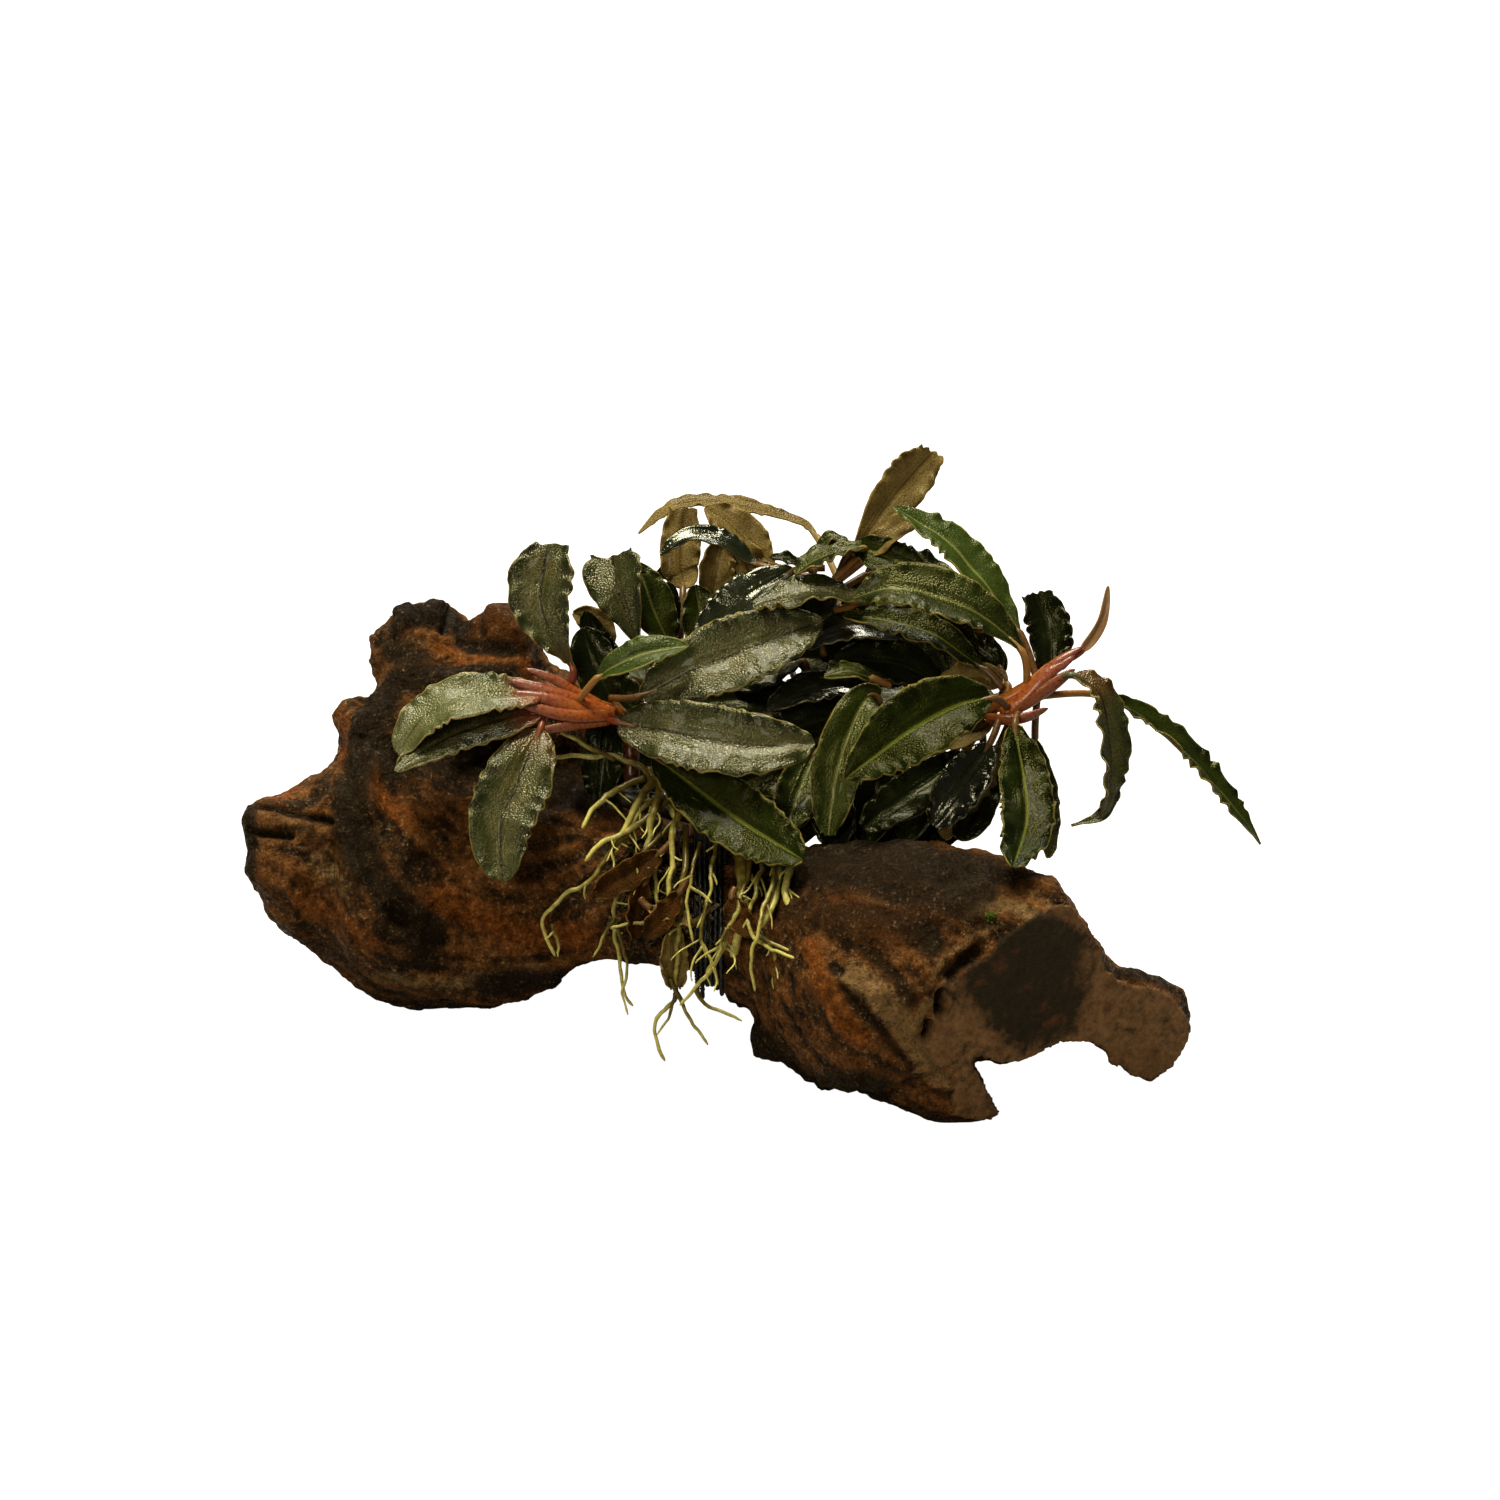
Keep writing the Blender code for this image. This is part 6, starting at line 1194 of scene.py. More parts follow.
# Skin, stalk, how silvery (how strong its painted sheen is), how ruffled and how folded a
# leaf is, and its outline: how blunt its foot is, where it is widest, how blunt its tip is and
# how wide a torn tip ends
LOOKS = {
    "left_1": Look("silver", "red", 1.0, 1.0, 0.7, 1.25, 0.74, 0.4, 0.6),
    "left_2": Look("pale", "red", 0.8, 0.9, 0.6, 0.5, 0.5, 0.45, 0.2),
    "left_3": Look("silver", "red", 1.0, 0.7, 0.6, 0.5, 0.4, 0.6),
    "left_4": Look("silver", "red", 1.0, 0.9, 0.8, 0.5, 0.42, 0.42),
    "left_5": Look("fresh", "tan", 0.2, 0.6, 1.0, 0.7, 0.5, 0.7),
    "left_6": Look("silver", "amber", 0.8, 0.9, 0.8, 0.55, 0.52, 0.5),
    "left_7": Look("silver", "red", 0.7, 0.9, 0.8, 0.45, 0.5, 0.5),
    "left_8": Look("deep", "amber", 0.8, 0.9, 0.8, 0.6, 0.5, 0.42),
    "back_1": Look("silver", "amber", 0.6, 0.7, 0.8, 1.5, 0.88, 0.4, 0.7),
    "back_2": Look("olive", "amber", 0.3, 1.0, 1.0),
    "back_3": Look("gloss", "amber", 1.0, 0.5, 1.0, 0.6, 0.5, 0.6),
    "back_4": Look("gloss", "amber", 1.0, 0.4, 1.0, 0.6, 0.5, 0.7),
    "back_5": Look("bronze", "amber", 0.3, 0.8, 1.0, 0.7, 0.5, 0.6),
    "back_6": Look("bronze", "amber", 0.5, 0.6, 0.4, 0.3, 0.5, 0.3, 0.7),
    "back_7": Look("bronze", "straw", 0.6, 0.6, 1.0, 0.7, 0.55, 0.7),
    "back_8": Look("night", "amber", 0.3, 1.0, 1.0),
    "top_1": Look("bronze", "amber", 0.8, 0.9, 1.0, 0.8, 0.7, 0.35, 0.6),
    "top_2": Look("bronze", "amber", 0.4, 1.0, 1.0),
    "top_3": Look("night", "amber", 0.6, 1.4, 1.0),
    "top_4": Look("silver", "tan", 0.7, 1.1, 1.0, 0.7, 0.5, 0.5, 0.2),
    "top_5": Look("olive", "tan", 0.4, 1.0, 1.0),
    "right_1": Look("deep", "amber", 0.5, 0.9, 0.9, 0.6, 0.42, 0.65),
    "right_2": Look("olive", "tan", 0.5, 0.9, 1.0, 0.8, 0.55, 0.55),
    "right_3": Look("deep", "amber", 0.3, 0.9, 1.0),
    "right_4": Look("fresh", "amber", 0.2, 1.0, 1.0, 0.8, 0.45, 0.7),
    "right_5": Look("night", "amber", 0.6, 1.8, 1.0, 0.2, 0.6, 0.3, 0.7),
    "right_6": Look("tan", "red", 0.0, 0.0, 1.0, 0.3, 0.2, 0.5),
    "right_7": Look("silver", "green", 0.6, 1.1, 1.0, 0.5, 0.35, 1.3),
    "right_8": Look("olive", "tan", 0.5, 0.9, 1.2, 0.8, 0.45, 0.8),
    "right_9": Look("deep", "amber", 0.2, 1.3, 0.8, 0.5, 0.5, 0.45),
    "right_10": Look("silver", "amber", 0.3, 1.0, 1.0),
    "right_11": Look("olive", "amber", 0.7, 0.4, 0.8, 0.4, 0.5, 0.4, 0.3),
    "right_12": Look("night", "amber", 0.5, 1.4, 1.0, 0.5, 0.5, 0.4, 0.3),
    "right_13": Look("gloss", "amber", 0.9, 1.4, 1.0, 0.5, 0.5, 0.4, 0.3),
    "right_14": Look("under", "amber", 0.4, 0.8, 1.0),
    "middle_1": Look("gloss", "amber", 1.0, 0.5, 0.8),
    "middle_2": Look("gloss", "amber", 0.8, 0.7, 1.0),
    "middle_3": Look("night", "amber", 0.6, 0.9, 1.0),
    "middle_5": Look("night", "amber", 0.4, 0.9, 1.0),
    "small_2": Look("olive", "tan", 0.4, 0.8, 1.0),
    "small_37": Look("deep", "amber", 0.4, 1.5, 1.2, 0.5, 0.5, 0.4, 0.3),
    "small_3": Look("bronze", "amber", 0.2, 0.8, 1.0, 0.5, 0.5, 0.4, 0.4),
    "small_5": Look("olive", "tan", 0.6, 0.6, 1.0),
    "small_7": Look("bronze", "amber", 0.2, 0.8, 1.0),
    "small_10": Look("bronze", "amber", 0.4, 1.0, 1.0),
    "small_13": Look("bronze", "amber", 0.2, 0.8, 1.0),
    "small_15": Look("olive", "amber", 0.2, 1.0, 1.0),
    "small_16": Look("olive", "amber", 0.3, 1.0, 1.0),
    "small_17": Look("olive", "amber", 0.3, 1.0, 1.0),
    "small_18": Look("bronze", "amber", 0.3, 1.0, 1.0),
    "small_29": Look("bronze", "amber", 0.2, 0.8, 1.0, 0.5, 0.5, 0.4, 0.4),
    "small_32": Look("bronze", "tan", 0.2, 0.8, 1.0),
    "small_33": Look("bronze", "red", 0.2, 0.8, 1.0),
    "small_35": Look("olive", "amber", 0.2, 0.8, 1.0),
    **{
        f"rotten_{number}": Look(skin, "amber", 0.1, 1.6, 1.6, 0.4, 0.5, 0.4, 0.4)
        for number, skin in enumerate(ROTTEN_SKINS, 1)
    },
}
# How red the foot of a young blade is, and the look of leaves in the shade that have none,
# whose night skin is darkened with painted shade
BLUSH = {"left_1": 0.25, "left_2": 0.9, "left_3": 0.9, "left_4": 0.2, "right_7": 0.3}
DARK_LOOK = Look("night", "amber", 0.5, 1.0, 1.0, 0.5, 0.5, 0.45)

# Squares along and across a blade, and the finer steps of its middle line
BLADE_ALONG = 64
BLADE_ACROSS = 14
BLADE_FINE = 240
BLADE_THICKNESS = 0.34
STALK_RADIUS = 0.75
STALK_SIDES = 8
STALK_RINGS = 9
# Rings by which the stalk thins out under the blade
STALK_ONWARD = 6
# Waves of the margin, the rise of a folded half, the sunken midrib, and the frays of a torn tip
RUFFLE_LENGTH = 4.2
RUFFLE_HEIGHT = 0.75
FOLD = 0.28
RIB_DEPTH = 0.4
RIB_WIDTH = 0.55
TEAR = 1.5


def blade_width(share, look):
    """How wide a blade is along its length, next to its widest."""
    if share < look.peak:
        width = math.sin(math.pi / 2 * share / look.peak) ** look.foot
        least = 0.08
    else:
        width = math.cos(math.pi / 2 * min(1, (share - look.peak) / (1 - look.peak))) ** look.tip
        least = max(0.05, look.end)
    return max(width, least)


def blade_point(leaf, look, row, u, v, chance):
    """Where a point of the blade lies. u is -1 to 1 across it, and v is 0 to 1 along it."""
    point, heading, side, normal, length = row
    width = leaf.width / 2 * blade_width(v, look)
    edge = max(0.0, (abs(u) - 0.45) / 0.55)
    hand = 1.0 if u > 0 else -1.0
    # the waves of the margin differ in length and height
    drift = noise.noise(Vector((v * length / 8, hand * 3, chance)))
    strength = 0.35 + 1.3 * abs(noise.noise(Vector((v * length / 6, hand * 5, chance + 9))))
    wave = math.tau * (v * length / RUFFLE_LENGTH + 1.3 * drift) + hand * 1.3 + chance
    ruffle = look.ruffle * RUFFLE_HEIGHT * strength * edge**2 * min(1.0, width / 2.5)
    swell = noise.fractal(Vector((u * 1.1, v * length / 9, chance)), 1.0, 2.0, 2) * 0.7
    rise = FOLD * look.fold * width * abs(u) ** 1.35
    rib = -RIB_DEPTH * math.exp(-((u * width / RIB_WIDTH) ** 2)) * min(1.0, width / 3) * (1 - v**2)
    scallop = 0.045 * math.cos(wave + 0.9) + 0.03 * noise.noise(Vector((v * length, hand, chance)))
    across = width * (u + look.ruffle * edge * hand * scallop)
    height = rise + rib + ruffle * math.sin(wave) + swell * min(1.0, width / 3)
    torn = look.end * TEAR * v**10 * noise.noise(Vector((u * 2.3, chance, 0.0))) * 2
    return point + side * across + normal * height + heading * torn


def make_leaf(leaf, look, replaced):
    """A stalk and a folded blade with a ruffled margin."""
    curve = route(leaf.path)
    blade = curve[CURVE_STEPS:]
    length = length_of(blade)
    points = evenly(blade, BLADE_FINE + 1)
    face = turned(*leaf.face)
    # each leaf ruffles in its own way
    chance = (sum(map(ord, leaf.name)) * 37 % 101) / 7
    rows = []
    for point, heading in zip(points, headings(points)):
        side = heading.cross(face).normalized()
        rows.append((point, heading, side, side.cross(heading).normalized(), length))
    bm = bmesh.new()
    bm.loops.layers.uv.new("blade")
    grid = bmesh.ops.create_grid(
        bm, x_segments=BLADE_ACROSS, y_segments=BLADE_ALONG, size=0.5, calc_uvs=True
    )
    upper_corners = set(grid["verts"])
    for vert in grid["verts"]:
        # rows lie closer together towards the tip
        u, v = 2 * vert.co.x, 1 - max(0.0, 0.5 - vert.co.y) ** 1.3
        vert.co = blade_point(leaf, look, rows[round(v * BLADE_FINE)], u, v, chance)
    bm.normal_update()
    upward = sum((vert.normal for vert in grid["verts"]), Vector())
    if upward.dot(rows[BLADE_FINE // 2][3]) < 0:
        bmesh.ops.reverse_faces(bm, faces=bm.faces)
    bmesh.ops.solidify(bm, geom=bm.faces[:], thickness=BLADE_THICKNESS)
    for side_face in bm.faces:
        below = not any(vert in upper_corners for vert in side_face.verts)
        side_face.material_index = int(below)
    stalk = evenly(curve[: CURVE_STEPS + 1], STALK_RINGS)
    normal = rows[0][3]
    onward = [
        rows[4 * (step + 1)][0] - normal * (0.25 + 0.06 * step) for step in range(STALK_ONWARD)
    ]
    radius = min(STALK_RADIUS, 0.12 + leaf.width / 4)
    radii = [radius] * STALK_RINGS
    radii += [radius * (1 - 0.13 * (step + 1)) for step in range(STALK_ONWARD)]
    tube(bm, stalk + onward, radii, STALK_SIDES, material=2)
    # how strong the painted sheen is, and how red the foot of the blade is
    silver = bm.verts.layers.float.new("silver")
    young = bm.verts.layers.float.new("young")
    for vert in bm.verts:
        vert[silver] = look.silver
        vert[young] = BLUSH.get(leaf.name, 0.0)
    materials = [SKINS[look.skin], SKINS["under"], STALKS[look.stalk]]
    finished("leaf." + leaf.name, bm, materials, replaced)


# Stems, sheaths and roots

# The radius at the first and the last point, the skin and the points of the usual view
Stem = namedtuple("Stem", "name first last skin path")
STEMS = [
    Stem("rhizome_main", 2.3, 2.2, OLD_STEM, [
        (-27.0, 67.0, -23.0), (-19.0, 64.8, -20.5), (-8.0, 62.4, -19.0), (1.0, 61.4, -16.0),
        (8.0, 61.6, -13.6), (11.6, 64.0, -14.6),
    ]),
    Stem("rhizome_left", 1.7, 1.5, YOUNG_STEM, [
        (-23.6, 68.0, -22.6), (-24.0, 78.0, -22.4), (-26.5, 82.6, -20.6), (-32.0, 84.4, -18.0),
        (-38.0, 85.4, -17.4), (-43.4, 87.0, -17.6),
    ]),
    Stem("rhizome_middle", 1.4, 1.2, OLD_STEM, [
        (-15.8, 65.6, -22.0), (-14.6, 76.0, -27.0), (-15.4, 84.0, -30.0), (-17.0, 90.4, -31.0),
    ]),
    Stem("rhizome_top", 1.4, 1.2, OLD_STEM, [
        (3.0, 63.6, -17.2), (6.0, 76.0, -24.0), (11.0, 90.0, -28.0), (15.4, 102.0, -27.0),
        (17.4, 110.4, -24.4),
    ]),
    Stem("rhizome_right", 1.6, 1.5, YOUNG_STEM, [
        (9.6, 63.4, -14.6), (18.0, 69.4, -17.4), (30.0, 76.0, -17.0), (42.0, 81.0, -14.0),
        (50.0, 85.0, -11.8), (56.0, 88.4, -11.0), (61.6, 93.0, -11.4),
    ]),
]
# From one leaf scar to the next
RING_SPACING = 3.2
STEM_STEP = 0.7
STEM_SIDES = 14


def make_stem(stem):
    """A creeping stem, ringed by the scars of old leaves."""
    curve = route(stem.path)
    length = length_of(curve)
    count = int(length / STEM_STEP)
    points = evenly(curve, count)
    radii = []
    for index, point in enumerate(points):
        share = index / (count - 1)
        ring = math.cos(math.tau * share * length / RING_SPACING)
        knobbly = noise.noise(point / 2.6)
        radius = stem.first + (stem.last - stem.first) * share
        radii.append(radius * (1 + 0.07 * max(ring, -0.3) ** 3 + 0.10 * knobbly))
    # both ends are rounded
    for step, share in enumerate((0.35, 0.7, 0.9)):
        radii[step] *= share
        radii[-1 - step] *= share
    bm = bmesh.new()
    tube(bm, points, radii, STEM_SIDES)
    finished("stem." + stem.name, bm, [stem.skin], [stem.name])


# Pointed sheaths at the growing tips, given as leaves are
SHEATHS = [
    Leaf("sheath_1", 3.6, (0.0, 0.5, 1.0), [
        (-27.0, 83.2, -16.0), (-32.0, 84.8, -14.8), (-40.0, 87.6, -13.6), (-48.4, 89.8, -13.8),
    ]),
    Leaf("sheath_2", 3.4, (0.0, 0.3, 1.0), [
        (-27.6, 82.4, -15.4), (-33.0, 83.4, -13.8), (-40.0, 86.0, -12.8), (-47.6, 87.2, -13.0),
    ]),
    Leaf("sheath_3", 2.6, (0.0, -0.3, 1.0), [
        (-28.0, 81.6, -15.2), (-33.6, 80.8, -13.8), (-38.0, 80.0, -12.6), (-43.0, 79.4, -12.4),
    ]),
    Leaf("sheath_4", 2.4, (-0.2, 0.6, 1.0), [
        (-30.0, 85.0, -16.0), (-35.0, 87.6, -15.4), (-40.0, 90.4, -14.8), (-45.0, 92.0, -14.8),
    ]),
    Leaf("sheath_5", 3.0, (0.0, 0.2, 1.0), [
        (-28.0, 82.8, -14.6), (-35.0, 82.6, -12.8), (-41.0, 83.6, -12.0), (-47.0, 85.4, -12.0),
    ]),
    Leaf("sheath_6", 3.6, (-0.3, 0.4, 1.0), [
        (50.0, 83.0, -9.8), (54.6, 86.6, -8.6), (59.0, 91.0, -8.2), (65.0, 94.6, -9.0),
    ]),
    Leaf("sheath_7", 3.4, (0.2, -0.2, 1.0), [
        (50.6, 82.6, -9.6), (56.0, 85.6, -8.4), (60.6, 88.6, -8.0), (65.0, 91.8, -8.4),
    ]),
    Leaf("sheath_8", 2.6, (0.0, -0.4, 1.0), [
        (47.0, 81.8, -11.0), (50.6, 81.6, -9.6), (55.0, 82.0, -8.8), (59.6, 84.0, -9.0),
    ]),
    Leaf("sheath_9", 2.6, (-0.4, 0.4, 1.0), [
        (53.0, 86.6, -9.8), (57.6, 90.0, -9.0), (61.4, 93.6, -8.8), (66.6, 96.4, -9.8),
    ]),
]
SHEATH_ALONG = 16
SHEATH_ACROSS = 6
# Half of the angle that a sheath wraps round, and its thickness
SHEATH_WRAP = 1.3
SHEATH_THICKNESS = 0.2


def make_sheath(leaf):
    """A narrow pointed sheath folded round a growing tip."""
    curve = route(leaf.path)
    face = turned(*leaf.face)
    points = evenly(curve, SHEATH_ALONG + 1)
    bm = bmesh.new()
    along = bm.verts.layers.float.new("along")
    grid = bmesh.ops.create_grid(
        bm, x_segments=SHEATH_ACROSS, y_segments=SHEATH_ALONG, size=0.5
    )
    ways = headings(points)
    for vert in grid["verts"]:
        u, v = 2 * vert.co.x, vert.co.y + 0.5
        index = round(v * SHEATH_ALONG)
        side = ways[index].cross(face).normalized()
        normal = side.cross(ways[index]).normalized()
        width = leaf.width * 0.62 * max(0.05, (1 - v) ** 0.5 * (0.7 + 0.6 * v))
        width *= 1 + 0.12 * noise.noise(Vector((6 * v, u, leaf.width * 7)))
        vert[along] = v
        angle = SHEATH_WRAP * u
        vert.co = points[index] + side * width * math.sin(angle) + normal * width * (
            0.6 * (math.cos(angle) - 1)
        )
    bmesh.ops.solidify(bm, geom=bm.faces[:], thickness=SHEATH_THICKNESS)
    finished(leaf.name, bm, [SHEATH])


# The radius at the first point, and the points of the usual view
Root = namedtuple("Root", "radius path")
ROOTS = [
    Root(0.6, [
        (-20.6, 62.4, -16.6), (-23.6, 59.4, -14.0), (-27.4, 56.0, -12.6), (-32.0, 49.8, -12.0),
        (-36.4, 46.8, -12.4), (-41.6, 41.8, -13.6), (-39.0, 34.4, -15.6),
    ]),
    Root(0.6, [
        (-18.0, 61.6, -16.0), (-18.6, 56.6, -13.4), (-18.8, 48.8, -10.6), (-18.4, 45.0, -9.6),
        (-15.0, 42.8, -8.6), (-11.8, 42.4, -6.8),
    ]),
    Root(0.6, [
        (-15.2, 60.8, -15.2), (-19.6, 56.8, -10.6), (-24.0, 52.0, -9.6), (-26.6, 47.0, -10.4),
        (-27.0, 42.0, -12.0), (-26.6, 37.0, -13.6), (-25.2, 27.4, -15.0), (-23.4, 24.4, -15.6),
    ]),
    Root(0.65, [
        (-12.8, 60.2, -14.8), (-13.0, 52.0, -7.4), (-13.8, 44.0, -5.2), (-14.6, 37.2, -5.6),
        (-15.0, 32.0, -8.0), (-15.0, 26.0, -12.0), (-18.8, 21.6, -14.0), (-18.4, 16.4, -15.0),
        (-17.0, 13.4, -15.5),
    ]),
    Root(0.6, [
        (0.4, 58.6, -12.6), (-0.6, 50.0, -3.5), (-3.6, 41.0, 1.6), (-7.0, 33.2, 0.0),
        (-10.6, 28.4, -4.0), (-14.0, 24.6, -7.0),
    ]),
    Root(1.4, [
        (-2.4, 58.4, -14.4), (-1.8, 51.0, -6.2), (-1.6, 44.0, -2.0), (-2.4, 38.0, -0.6),
        (-3.6, 34.2, -1.0),
    ]),
]

# Finer roots, which have no solids
ROOTLETS = [
    Root(0.55, [
        (3.2, 58.2, -11.0), (1.8, 50.0, -2.0), (-0.4, 41.0, 2.2), (2.6, 36.8, 4.2),
        (8.8, 34.0, 12.4),
    ]),
    Root(0.55, [
        (6.2, 58.4, -10.0), (4.6, 50.0, 0.6), (2.2, 42.0, 6.4), (0.6, 36.0, 7.2),
        (0.2, 32.4, 6.2), (1.0, 27.4, 4.4),
    ]),
    Root(0.7, [(-19.6, 68.0, -19.6), (-22.0, 72.6, -19.0), (-30.0, 74.4, -19.6), (-40.6, 74.0, -20.0)]),
    Root(0.6, [(-27.0, 73.6, -19.4), (-33.0, 76.6, -18.0), (-39.6, 80.4, -16.8)]),
    Root(0.4, [(-39.6, 40.8, -12.8), (-38.4, 37.4, -13.4), (-38.4, 34.2, -14.4)]),
    Root(0.4, [(-27.0, 42.0, -11.4), (-29.6, 37.2, -12.0), (-31.4, 34.2, -13.0)]),
    Root(0.4, [(-26.8, 41.0, -11.0), (-24.6, 33.6, -12.4), (-25.4, 28.0, -13.0), (-24.4, 22.6, -13.6)]),
    Root(0.45, [(-17.0, 43.6, -8.4), (-22.0, 41.0, -8.6), (-27.8, 40.2, -10.0)]),
    Root(0.45, [(-10.0, 57.0, -9.0), (-11.6, 51.0, -4.6), (-12.6, 44.0, -3.0), (-11.4, 37.2, -3.4)]),
    Root(0.5, [(-16.0, 30.0, -8.6), (-13.0, 23.6, -10.6), (-8.4, 16.6, -12.4)]),
    Root(0.5, [(-11.0, 28.0, -5.0), (-9.0, 25.0, -5.6), (-1.6, 21.4, -5.0)]),
    Root(0.4, [(-15.0, 27.0, -10.6), (-16.2, 22.0, -12.4), (-18.6, 18.6, -13.0)]),
    Root(0.4, [(1.6, 40.6, 3.6), (4.4, 35.6, 4.4), (5.4, 28.8, 3.8), (6.0, 25.4, 3.0)]),
    Root(0.4, [(1.0, 39.0, 4.4), (5.6, 36.6, 6.0), (10.0, 34.2, 8.0)]),
    Root(1.2, [(4.8, 60.0, -12.0), (6.0, 52.0, -4.0), (4.6, 45.0, 2.4), (2.0, 40.0, 5.0)]),
    Root(1.1, [(7.6, 60.0, -11.0), (8.0, 52.6, -3.0), (7.0, 47.0, 2.0), (9.0, 42.6, 3.4)]),
    Root(0.7, [(-17.6, 66.0, -16.6), (-21.0, 64.0, -15.0), (-24.6, 60.0, -14.0)]),
    Root(0.5, [(-6.6, 60.0, -13.0), (-7.6, 52.0, -6.0), (-8.6, 45.0, -2.6), (-10.6, 40.0, -2.6)]),
    Root(0.45, [(-8.6, 45.0, -2.0), (-10.0, 38.0, -1.6), (-7.6, 33.0, -1.6), (-6.4, 28.6, -2.6)]),
    Root(0.45, [(-4.6, 40.0, 2.6), (-6.0, 36.0, 2.6), (-7.0, 33.4, 1.6)]),
    Root(0.9, [(-20.4, 72.0, -20.0), (-18.4, 68.0, -19.0), (-17.0, 65.0, -18.0), (-14.0, 61.0, -17.0)]),
    Root(0.9, [(-18.0, 71.0, -17.6), (-22.0, 66.0, -15.0), (-25.0, 60.0, -13.6), (-27.0, 55.0, -13.0)]),
    Root(0.9, [(-17.0, 70.0, -16.0), (-19.4, 64.0, -12.0), (-20.6, 56.0, -10.4), (-21.4, 49.0, -10.2)]),
    Root(0.85, [(-12.0, 69.0, -15.0), (-15.0, 61.0, -10.0), (-15.6, 53.0, -7.6), (-16.4, 46.0, -7.4)]),
    Root(0.8, [(-21.0, 70.0, -19.0), (-27.0, 67.6, -18.0), (-31.0, 64.0, -16.6), (-33.6, 60.0, -15.0)]),
    Root(0.75, [(-16.0, 66.0, -15.0), (-22.0, 61.0, -12.6), (-29.6, 57.0, -12.0), (-33.0, 53.4, -12.0)]),
]
ROOT_STEP = 0.8
ROOT_SIDES = 9
# The height below which roots hang free in the light, and are pale all along: partly their
# own pale young skin, partly painted light
PALE_BELOW = 18.0


def make_root(name, root, slot_nodes):
    """A fleshy root that wanders a little and narrows to a pale tip."""
    curve = route(root.path)
    count = max(8, int(length_of(curve) / ROOT_STEP))
    points = evenly(curve, count)
    radii = []
    for index, point in enumerate(points):
        share = index / (count - 1)
        sway = noise.noise_vector(point / 3.4) * 0.6 + noise.noise_vector(point / 1.3) * 0.2
        points[index] = point + sway * min(1.0, 4 * share, 4 * (1 - share))
        radius = root.radius * (1.0 - 0.45 * share)
        radii.append(radius * (1 + 0.22 * noise.noise(point / 1.7)))
    radii[-1] *= 0.45
    bm = bmesh.new()
    tube(bm, points, radii, ROOT_SIDES)
    along = bm.verts.layers.float["along"]
    for vert in bm.verts:
        # below PALE_BELOW a root is drawn pale all along, partly as painted light
        vert[along] = max(vert[along], min(1.0, (PALE_BELOW - vert.co.z) / 10))
    finished(name, bm, [ROOT], slot_nodes)


# Thread

THREAD_RADIUS = 0.42
# The middle of the thread lies this far off what it is tied round
THREAD_CLEAR = THREAD_RADIUS + 0.1
THREAD_TURNS = 6.5
THREAD_PITCH = 1.0
THREAD_LEFT = -11.4
THREAD_START = math.radians(-60)
# A point inside all turns, and a distance that is outside them all
THREAD_AXIS = Vector((0.0, -9.0, 27.0))
THREAD_FAR = 90.0
# Steps to a turn, and how often the thread is pulled straight between its neighbours
THREAD_STEPS = 90
THREAD_PULLS = 450
THREAD_STEP = 0.3
THREAD_SIDES = 8
# The height of the two plies, as a share of the radius, and the length of their turn
PLY_HEIGHT = 0.2
PLY_TURN = 2.0


def make_thread(surfaces):
    """The thread, pulled tight round the saddle and the creeping stem."""
    count = int(THREAD_TURNS * THREAD_STEPS)
    step = math.tau / THREAD_STEPS
    places, reaches = [], []
    for index in range(count):
        x = THREAD_LEFT + THREAD_PITCH * index / THREAD_STEPS
        angle = step * index + THREAD_START
        origin = Vector((x, THREAD_AXIS.y, THREAD_AXIS.z))
        outward = Vector((0, math.cos(angle), math.sin(angle)))
        reach = 0.0
        for surface in surfaces:
            hit = surface.ray_cast(origin + outward * THREAD_FAR, -outward)[0]
            if hit:
                reach = max(reach, (hit - origin).length + THREAD_CLEAR)
        places.append((origin, outward))
        reaches.append(reach)
    for _ in range(THREAD_PULLS):
        for index in range(1, count - 1):
            before, after = reaches[index - 1], reaches[index + 1]
            straight = 2 * before * after * math.cos(step) / (before + after)
            reaches[index] = max(reaches[index], straight)
    points = [origin + outward * reach for (origin, outward), reach in zip(places, reaches)]
    curve = smooth_curve(points, 3)
    points = evenly(curve, int(length_of(curve) / THREAD_STEP))
    bm = bmesh.new()
    radii = [THREAD_RADIUS] * len(points)
    tube(bm, points, radii, THREAD_SIDES, lobes=(PLY_HEIGHT, PLY_TURN))
    finished("thread", bm, [black_thread()], ["tying_thread"])


# Side roots, litter and moss

# Places along a root, and the first and last of them where side roots leave it
SIDE_ROOT_PLACES = 60
SIDE_ROOT_FIRST, SIDE_ROOT_LAST = 12, 45
SIDE_ROOT_STEP = 0.7
# The lowest height at which a side root may end
SIDE_ROOT_LOWEST = 24.0
FLAKES = 330
FIBRES = 260
MOSS_SHOOTS = 40


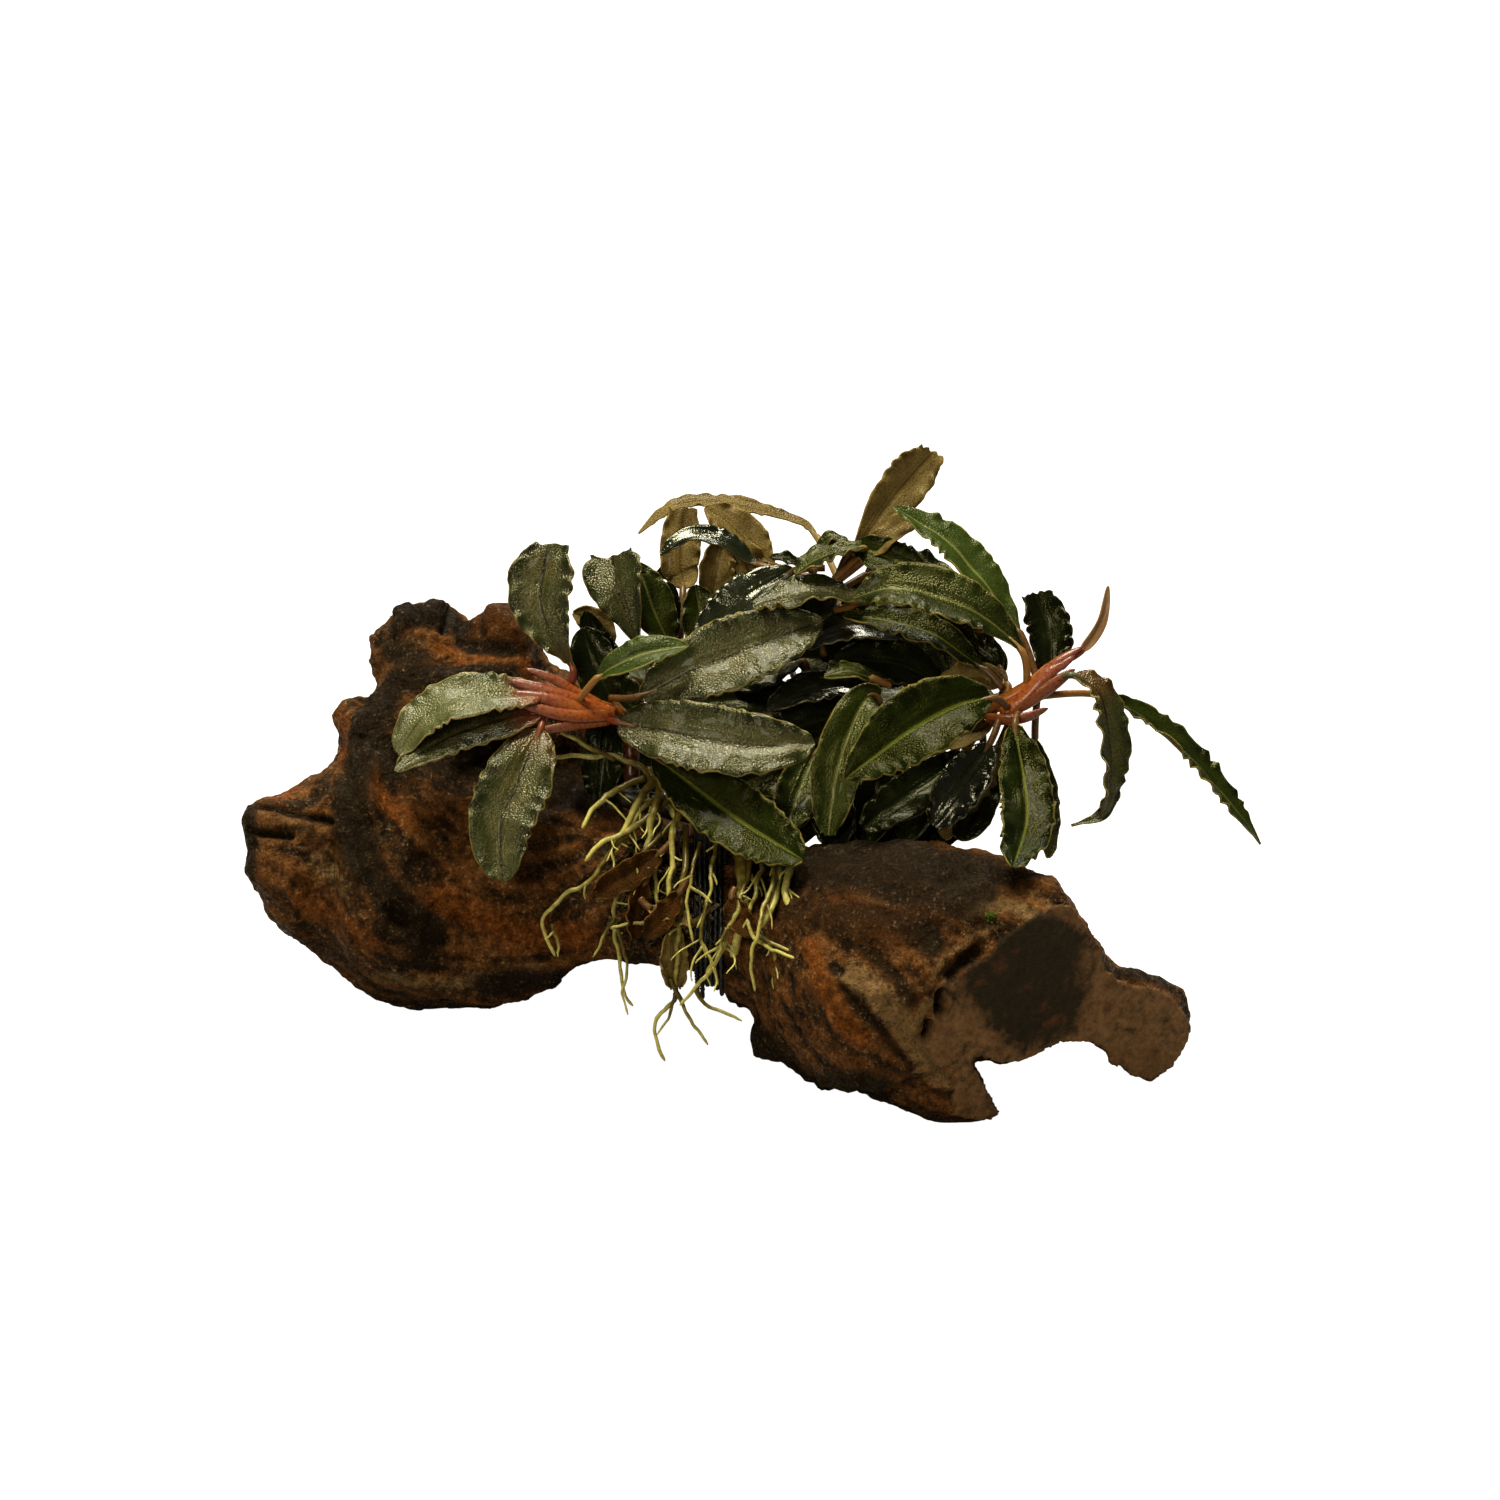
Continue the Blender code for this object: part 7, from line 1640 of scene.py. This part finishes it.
def make_side_roots():
    """Hair-fine side roots that leave the larger ones and feel their way down."""
    chance = random.Random(23)
    bm = bmesh.new()
    for root in ROOTS + ROOTLETS:
        curve = evenly(route(root.path), SIDE_ROOT_PLACES)
        if curve[0].z - curve[-1].z < 4:
            continue
        for _ in range(chance.choice((2, 3, 4))):
            place = curve[chance.randrange(SIDE_ROOT_FIRST, SIDE_ROOT_LAST + 1)]
            way = turned(chance.gauss(0, 0.9), -0.5, chance.uniform(-0.1, 0.7)).normalized()
            length = chance.uniform(2.5, 8.5)
            points = [place]
            for _ in range(int(length / SIDE_ROOT_STEP)):
                bend = noise.noise_vector(points[-1] / 2.5) * 0.5 + turned(0, -0.12, 0)
                way = (way + bend).normalized()
                points.append(points[-1] + way * SIDE_ROOT_STEP)
            if len(points) > 3 and points[-1].z > SIDE_ROOT_LOWEST:
                first = chance.uniform(0.2, 0.34)
                radii = [first * (1 - 0.6 * index / len(points)) for index in range(len(points))]
                tube(bm, points, radii, 6)
    along = bm.verts.layers.float["along"]
    for vert in bm.verts:
        vert[along] = 0.45 + 0.55 * vert[along]
    finished("side_roots", bm, [ROOT])


def litter_spots(surface, chance, count):
    """Random places among the roots, at or a little off the wood."""
    for _ in range(count):
        share = chance.random()
        across = -25 + 15 * share + chance.gauss(0, 2.4)
        up = chance.uniform(37, 60) - 2.5 * (1 - share)
        hit = on_surface(surface, [(across, up), (across, up - 0.1)], 1.0)
        if hit:
            depth = min(1.0, (57 - up) / 10 + 0.3)
            yield hit[0] + turned(0, 0, 1) * chance.uniform(0.1, 2.2) * depth


def make_litter(surface):
    """Rotting bits of leaf and fibre that lie caught between the roots."""
    chance = random.Random(11)
    bm = bmesh.new()
    along = bm.verts.layers.float.new("along")
    for spot in litter_spots(surface, chance, FLAKES):
        flake = bmesh.ops.create_icosphere(bm, subdivisions=1, radius=1.0)["verts"]
        turn = Matrix.Rotation(chance.uniform(0, 6), 4, Vector((chance.random(), 1, chance.random())))
        size = Matrix.Diagonal((chance.uniform(0.4, 1.3), chance.uniform(0.3, 0.8), 0.2, 1))
        bmesh.ops.transform(bm, matrix=Matrix.Translation(spot) @ turn @ size, verts=flake)
        tone = chance.random()
        for vert in flake:
            vert.co += noise.noise_vector(vert.co * 0.9) * 0.4
            vert[along] = tone
    for spot in litter_spots(surface, chance, FIBRES):
        way = turned(chance.gauss(0, 1), chance.gauss(-0.4, 0.8), chance.gauss(0.2, 0.4)).normalized()
        points = [spot]
        for _ in range(chance.randrange(4, 9)):
            way = (way + noise.noise_vector(points[-1] / 1.5) * 0.7).normalized()
            points.append(points[-1] + way * 0.5)
        tube(bm, points, [0.11] * len(points), 3)
    finished("litter", bm, [DEBRIS])


def make_moss(surface):
    """A tuft of moss on the edge of the sawn face."""
    chance = random.Random(3)
    bm = bmesh.new()
    spot = on_surface(surface, [(48.4, 42.4), (49.4, 43.4)], 0.5)[0]
    for _ in range(MOSS_SHOOTS):
        foot = spot + Vector((chance.gauss(0, 0.6), chance.gauss(0, 0.5), chance.gauss(0, 0.5)))
        way = Vector((chance.gauss(0, 0.7), -0.6 + chance.gauss(0, 0.5), 0.8)).normalized()
        points = [foot + way * (0.35 * index) for index in range(4)]
        tube(bm, points, [0.1, 0.16, 0.12, 0.04], 4)
    finished("moss", bm, [MOSS])


# The object

wood = make_driftwood()
main_stem = solid_of("rhizome_main")
stem_surface = BVHTree.FromBMesh(main_stem)
main_stem.free()
for leaf in LEAVES:
    make_leaf(leaf, LOOKS.get(leaf.name, Look()), ["leaf_" + leaf.name])
for leaf in SMALL_LEAVES:
    make_leaf(leaf, LOOKS.get(leaf.name, DARK_LOOK), [])
for leaf in SHEATHS:
    make_sheath(leaf)
for stem in STEMS:
    make_stem(stem)
for number, root in enumerate(ROOTS, 1):
    make_root(f"root.{number}", root, [f"root_{number}"])
for number, root in enumerate(ROOTLETS, 1):
    make_root(f"rootlet.{number}", root, [])
make_thread([wood, stem_surface])
make_side_roots()
make_litter(wood)
make_moss(wood)


# Floor, light and camera


def make_floor():
    """A plain pale table that shows white to the eye and gives little light back."""
    bm = bmesh.new()
    bmesh.ops.create_grid(bm, x_segments=1, y_segments=1, size=6.0)
    mesh = as_mesh("floor", bm)
    paper = new_material("white acrylic", {
        "Base Color": colour("#9c9a96"), "Roughness": 0.9, "Specular IOR Level": 0.0,
        "Emission Color": colour("#ffffff"),
    })
    eye = add(paper, "LightPath", {}, {}, "Is Camera Ray")
    dress(paper, Emission_Strength=eye)
    mesh.materials.append(paper)
    in_scene("floor", mesh)


def make_light(name, back, energy, spread, tint):
    """A far soft panel that shines from a direction, as wide as its spread in degrees."""
    lamp = bpy.data.lights.new(name, "SUN")
    lamp.energy = energy
    lamp.angle = math.radians(spread)
    lamp.color = colour(tint)[:3]
    holder = in_scene(name, lamp)
    holder.location = Vector(back).normalized()
    holder.rotation_mode = "QUATERNION"
    holder.rotation_quaternion = Vector(back).to_track_quat("Z", "Y")


make_floor()
make_light("overhead panel", (-0.12, 0.22, 1.0), 4.0, 24, "#fffae0")
make_light("rear panel", (0.15, 0.9, 0.55), 0.75, 12, "#fffbe8")
make_light("front panel", (-0.5, -0.9, 0.8), 0.75, 16, "#fff4d6")

world = bpy.data.worlds.new("studio")
world.use_nodes = True
world.node_tree.nodes["Background"].inputs["Color"].default_value = (1.0, 0.97, 0.93, 1.0)
world.node_tree.nodes["Background"].inputs["Strength"].default_value = 0.06
bpy.context.scene.world = world
bpy.context.scene.view_settings.view_transform = "Standard"

camera = in_scene("camera", bpy.data.cameras.new("camera"))
camera.data.lens = 135.0
camera.data.sensor_width = 36.0
camera.data.clip_end = 20.0
camera.location = VIEWPOINT * MM
camera.rotation_mode = "QUATERNION"
camera.rotation_quaternion = turned(0, 0, 1).to_track_quat("Z", "Y")
bpy.context.scene.camera = camera
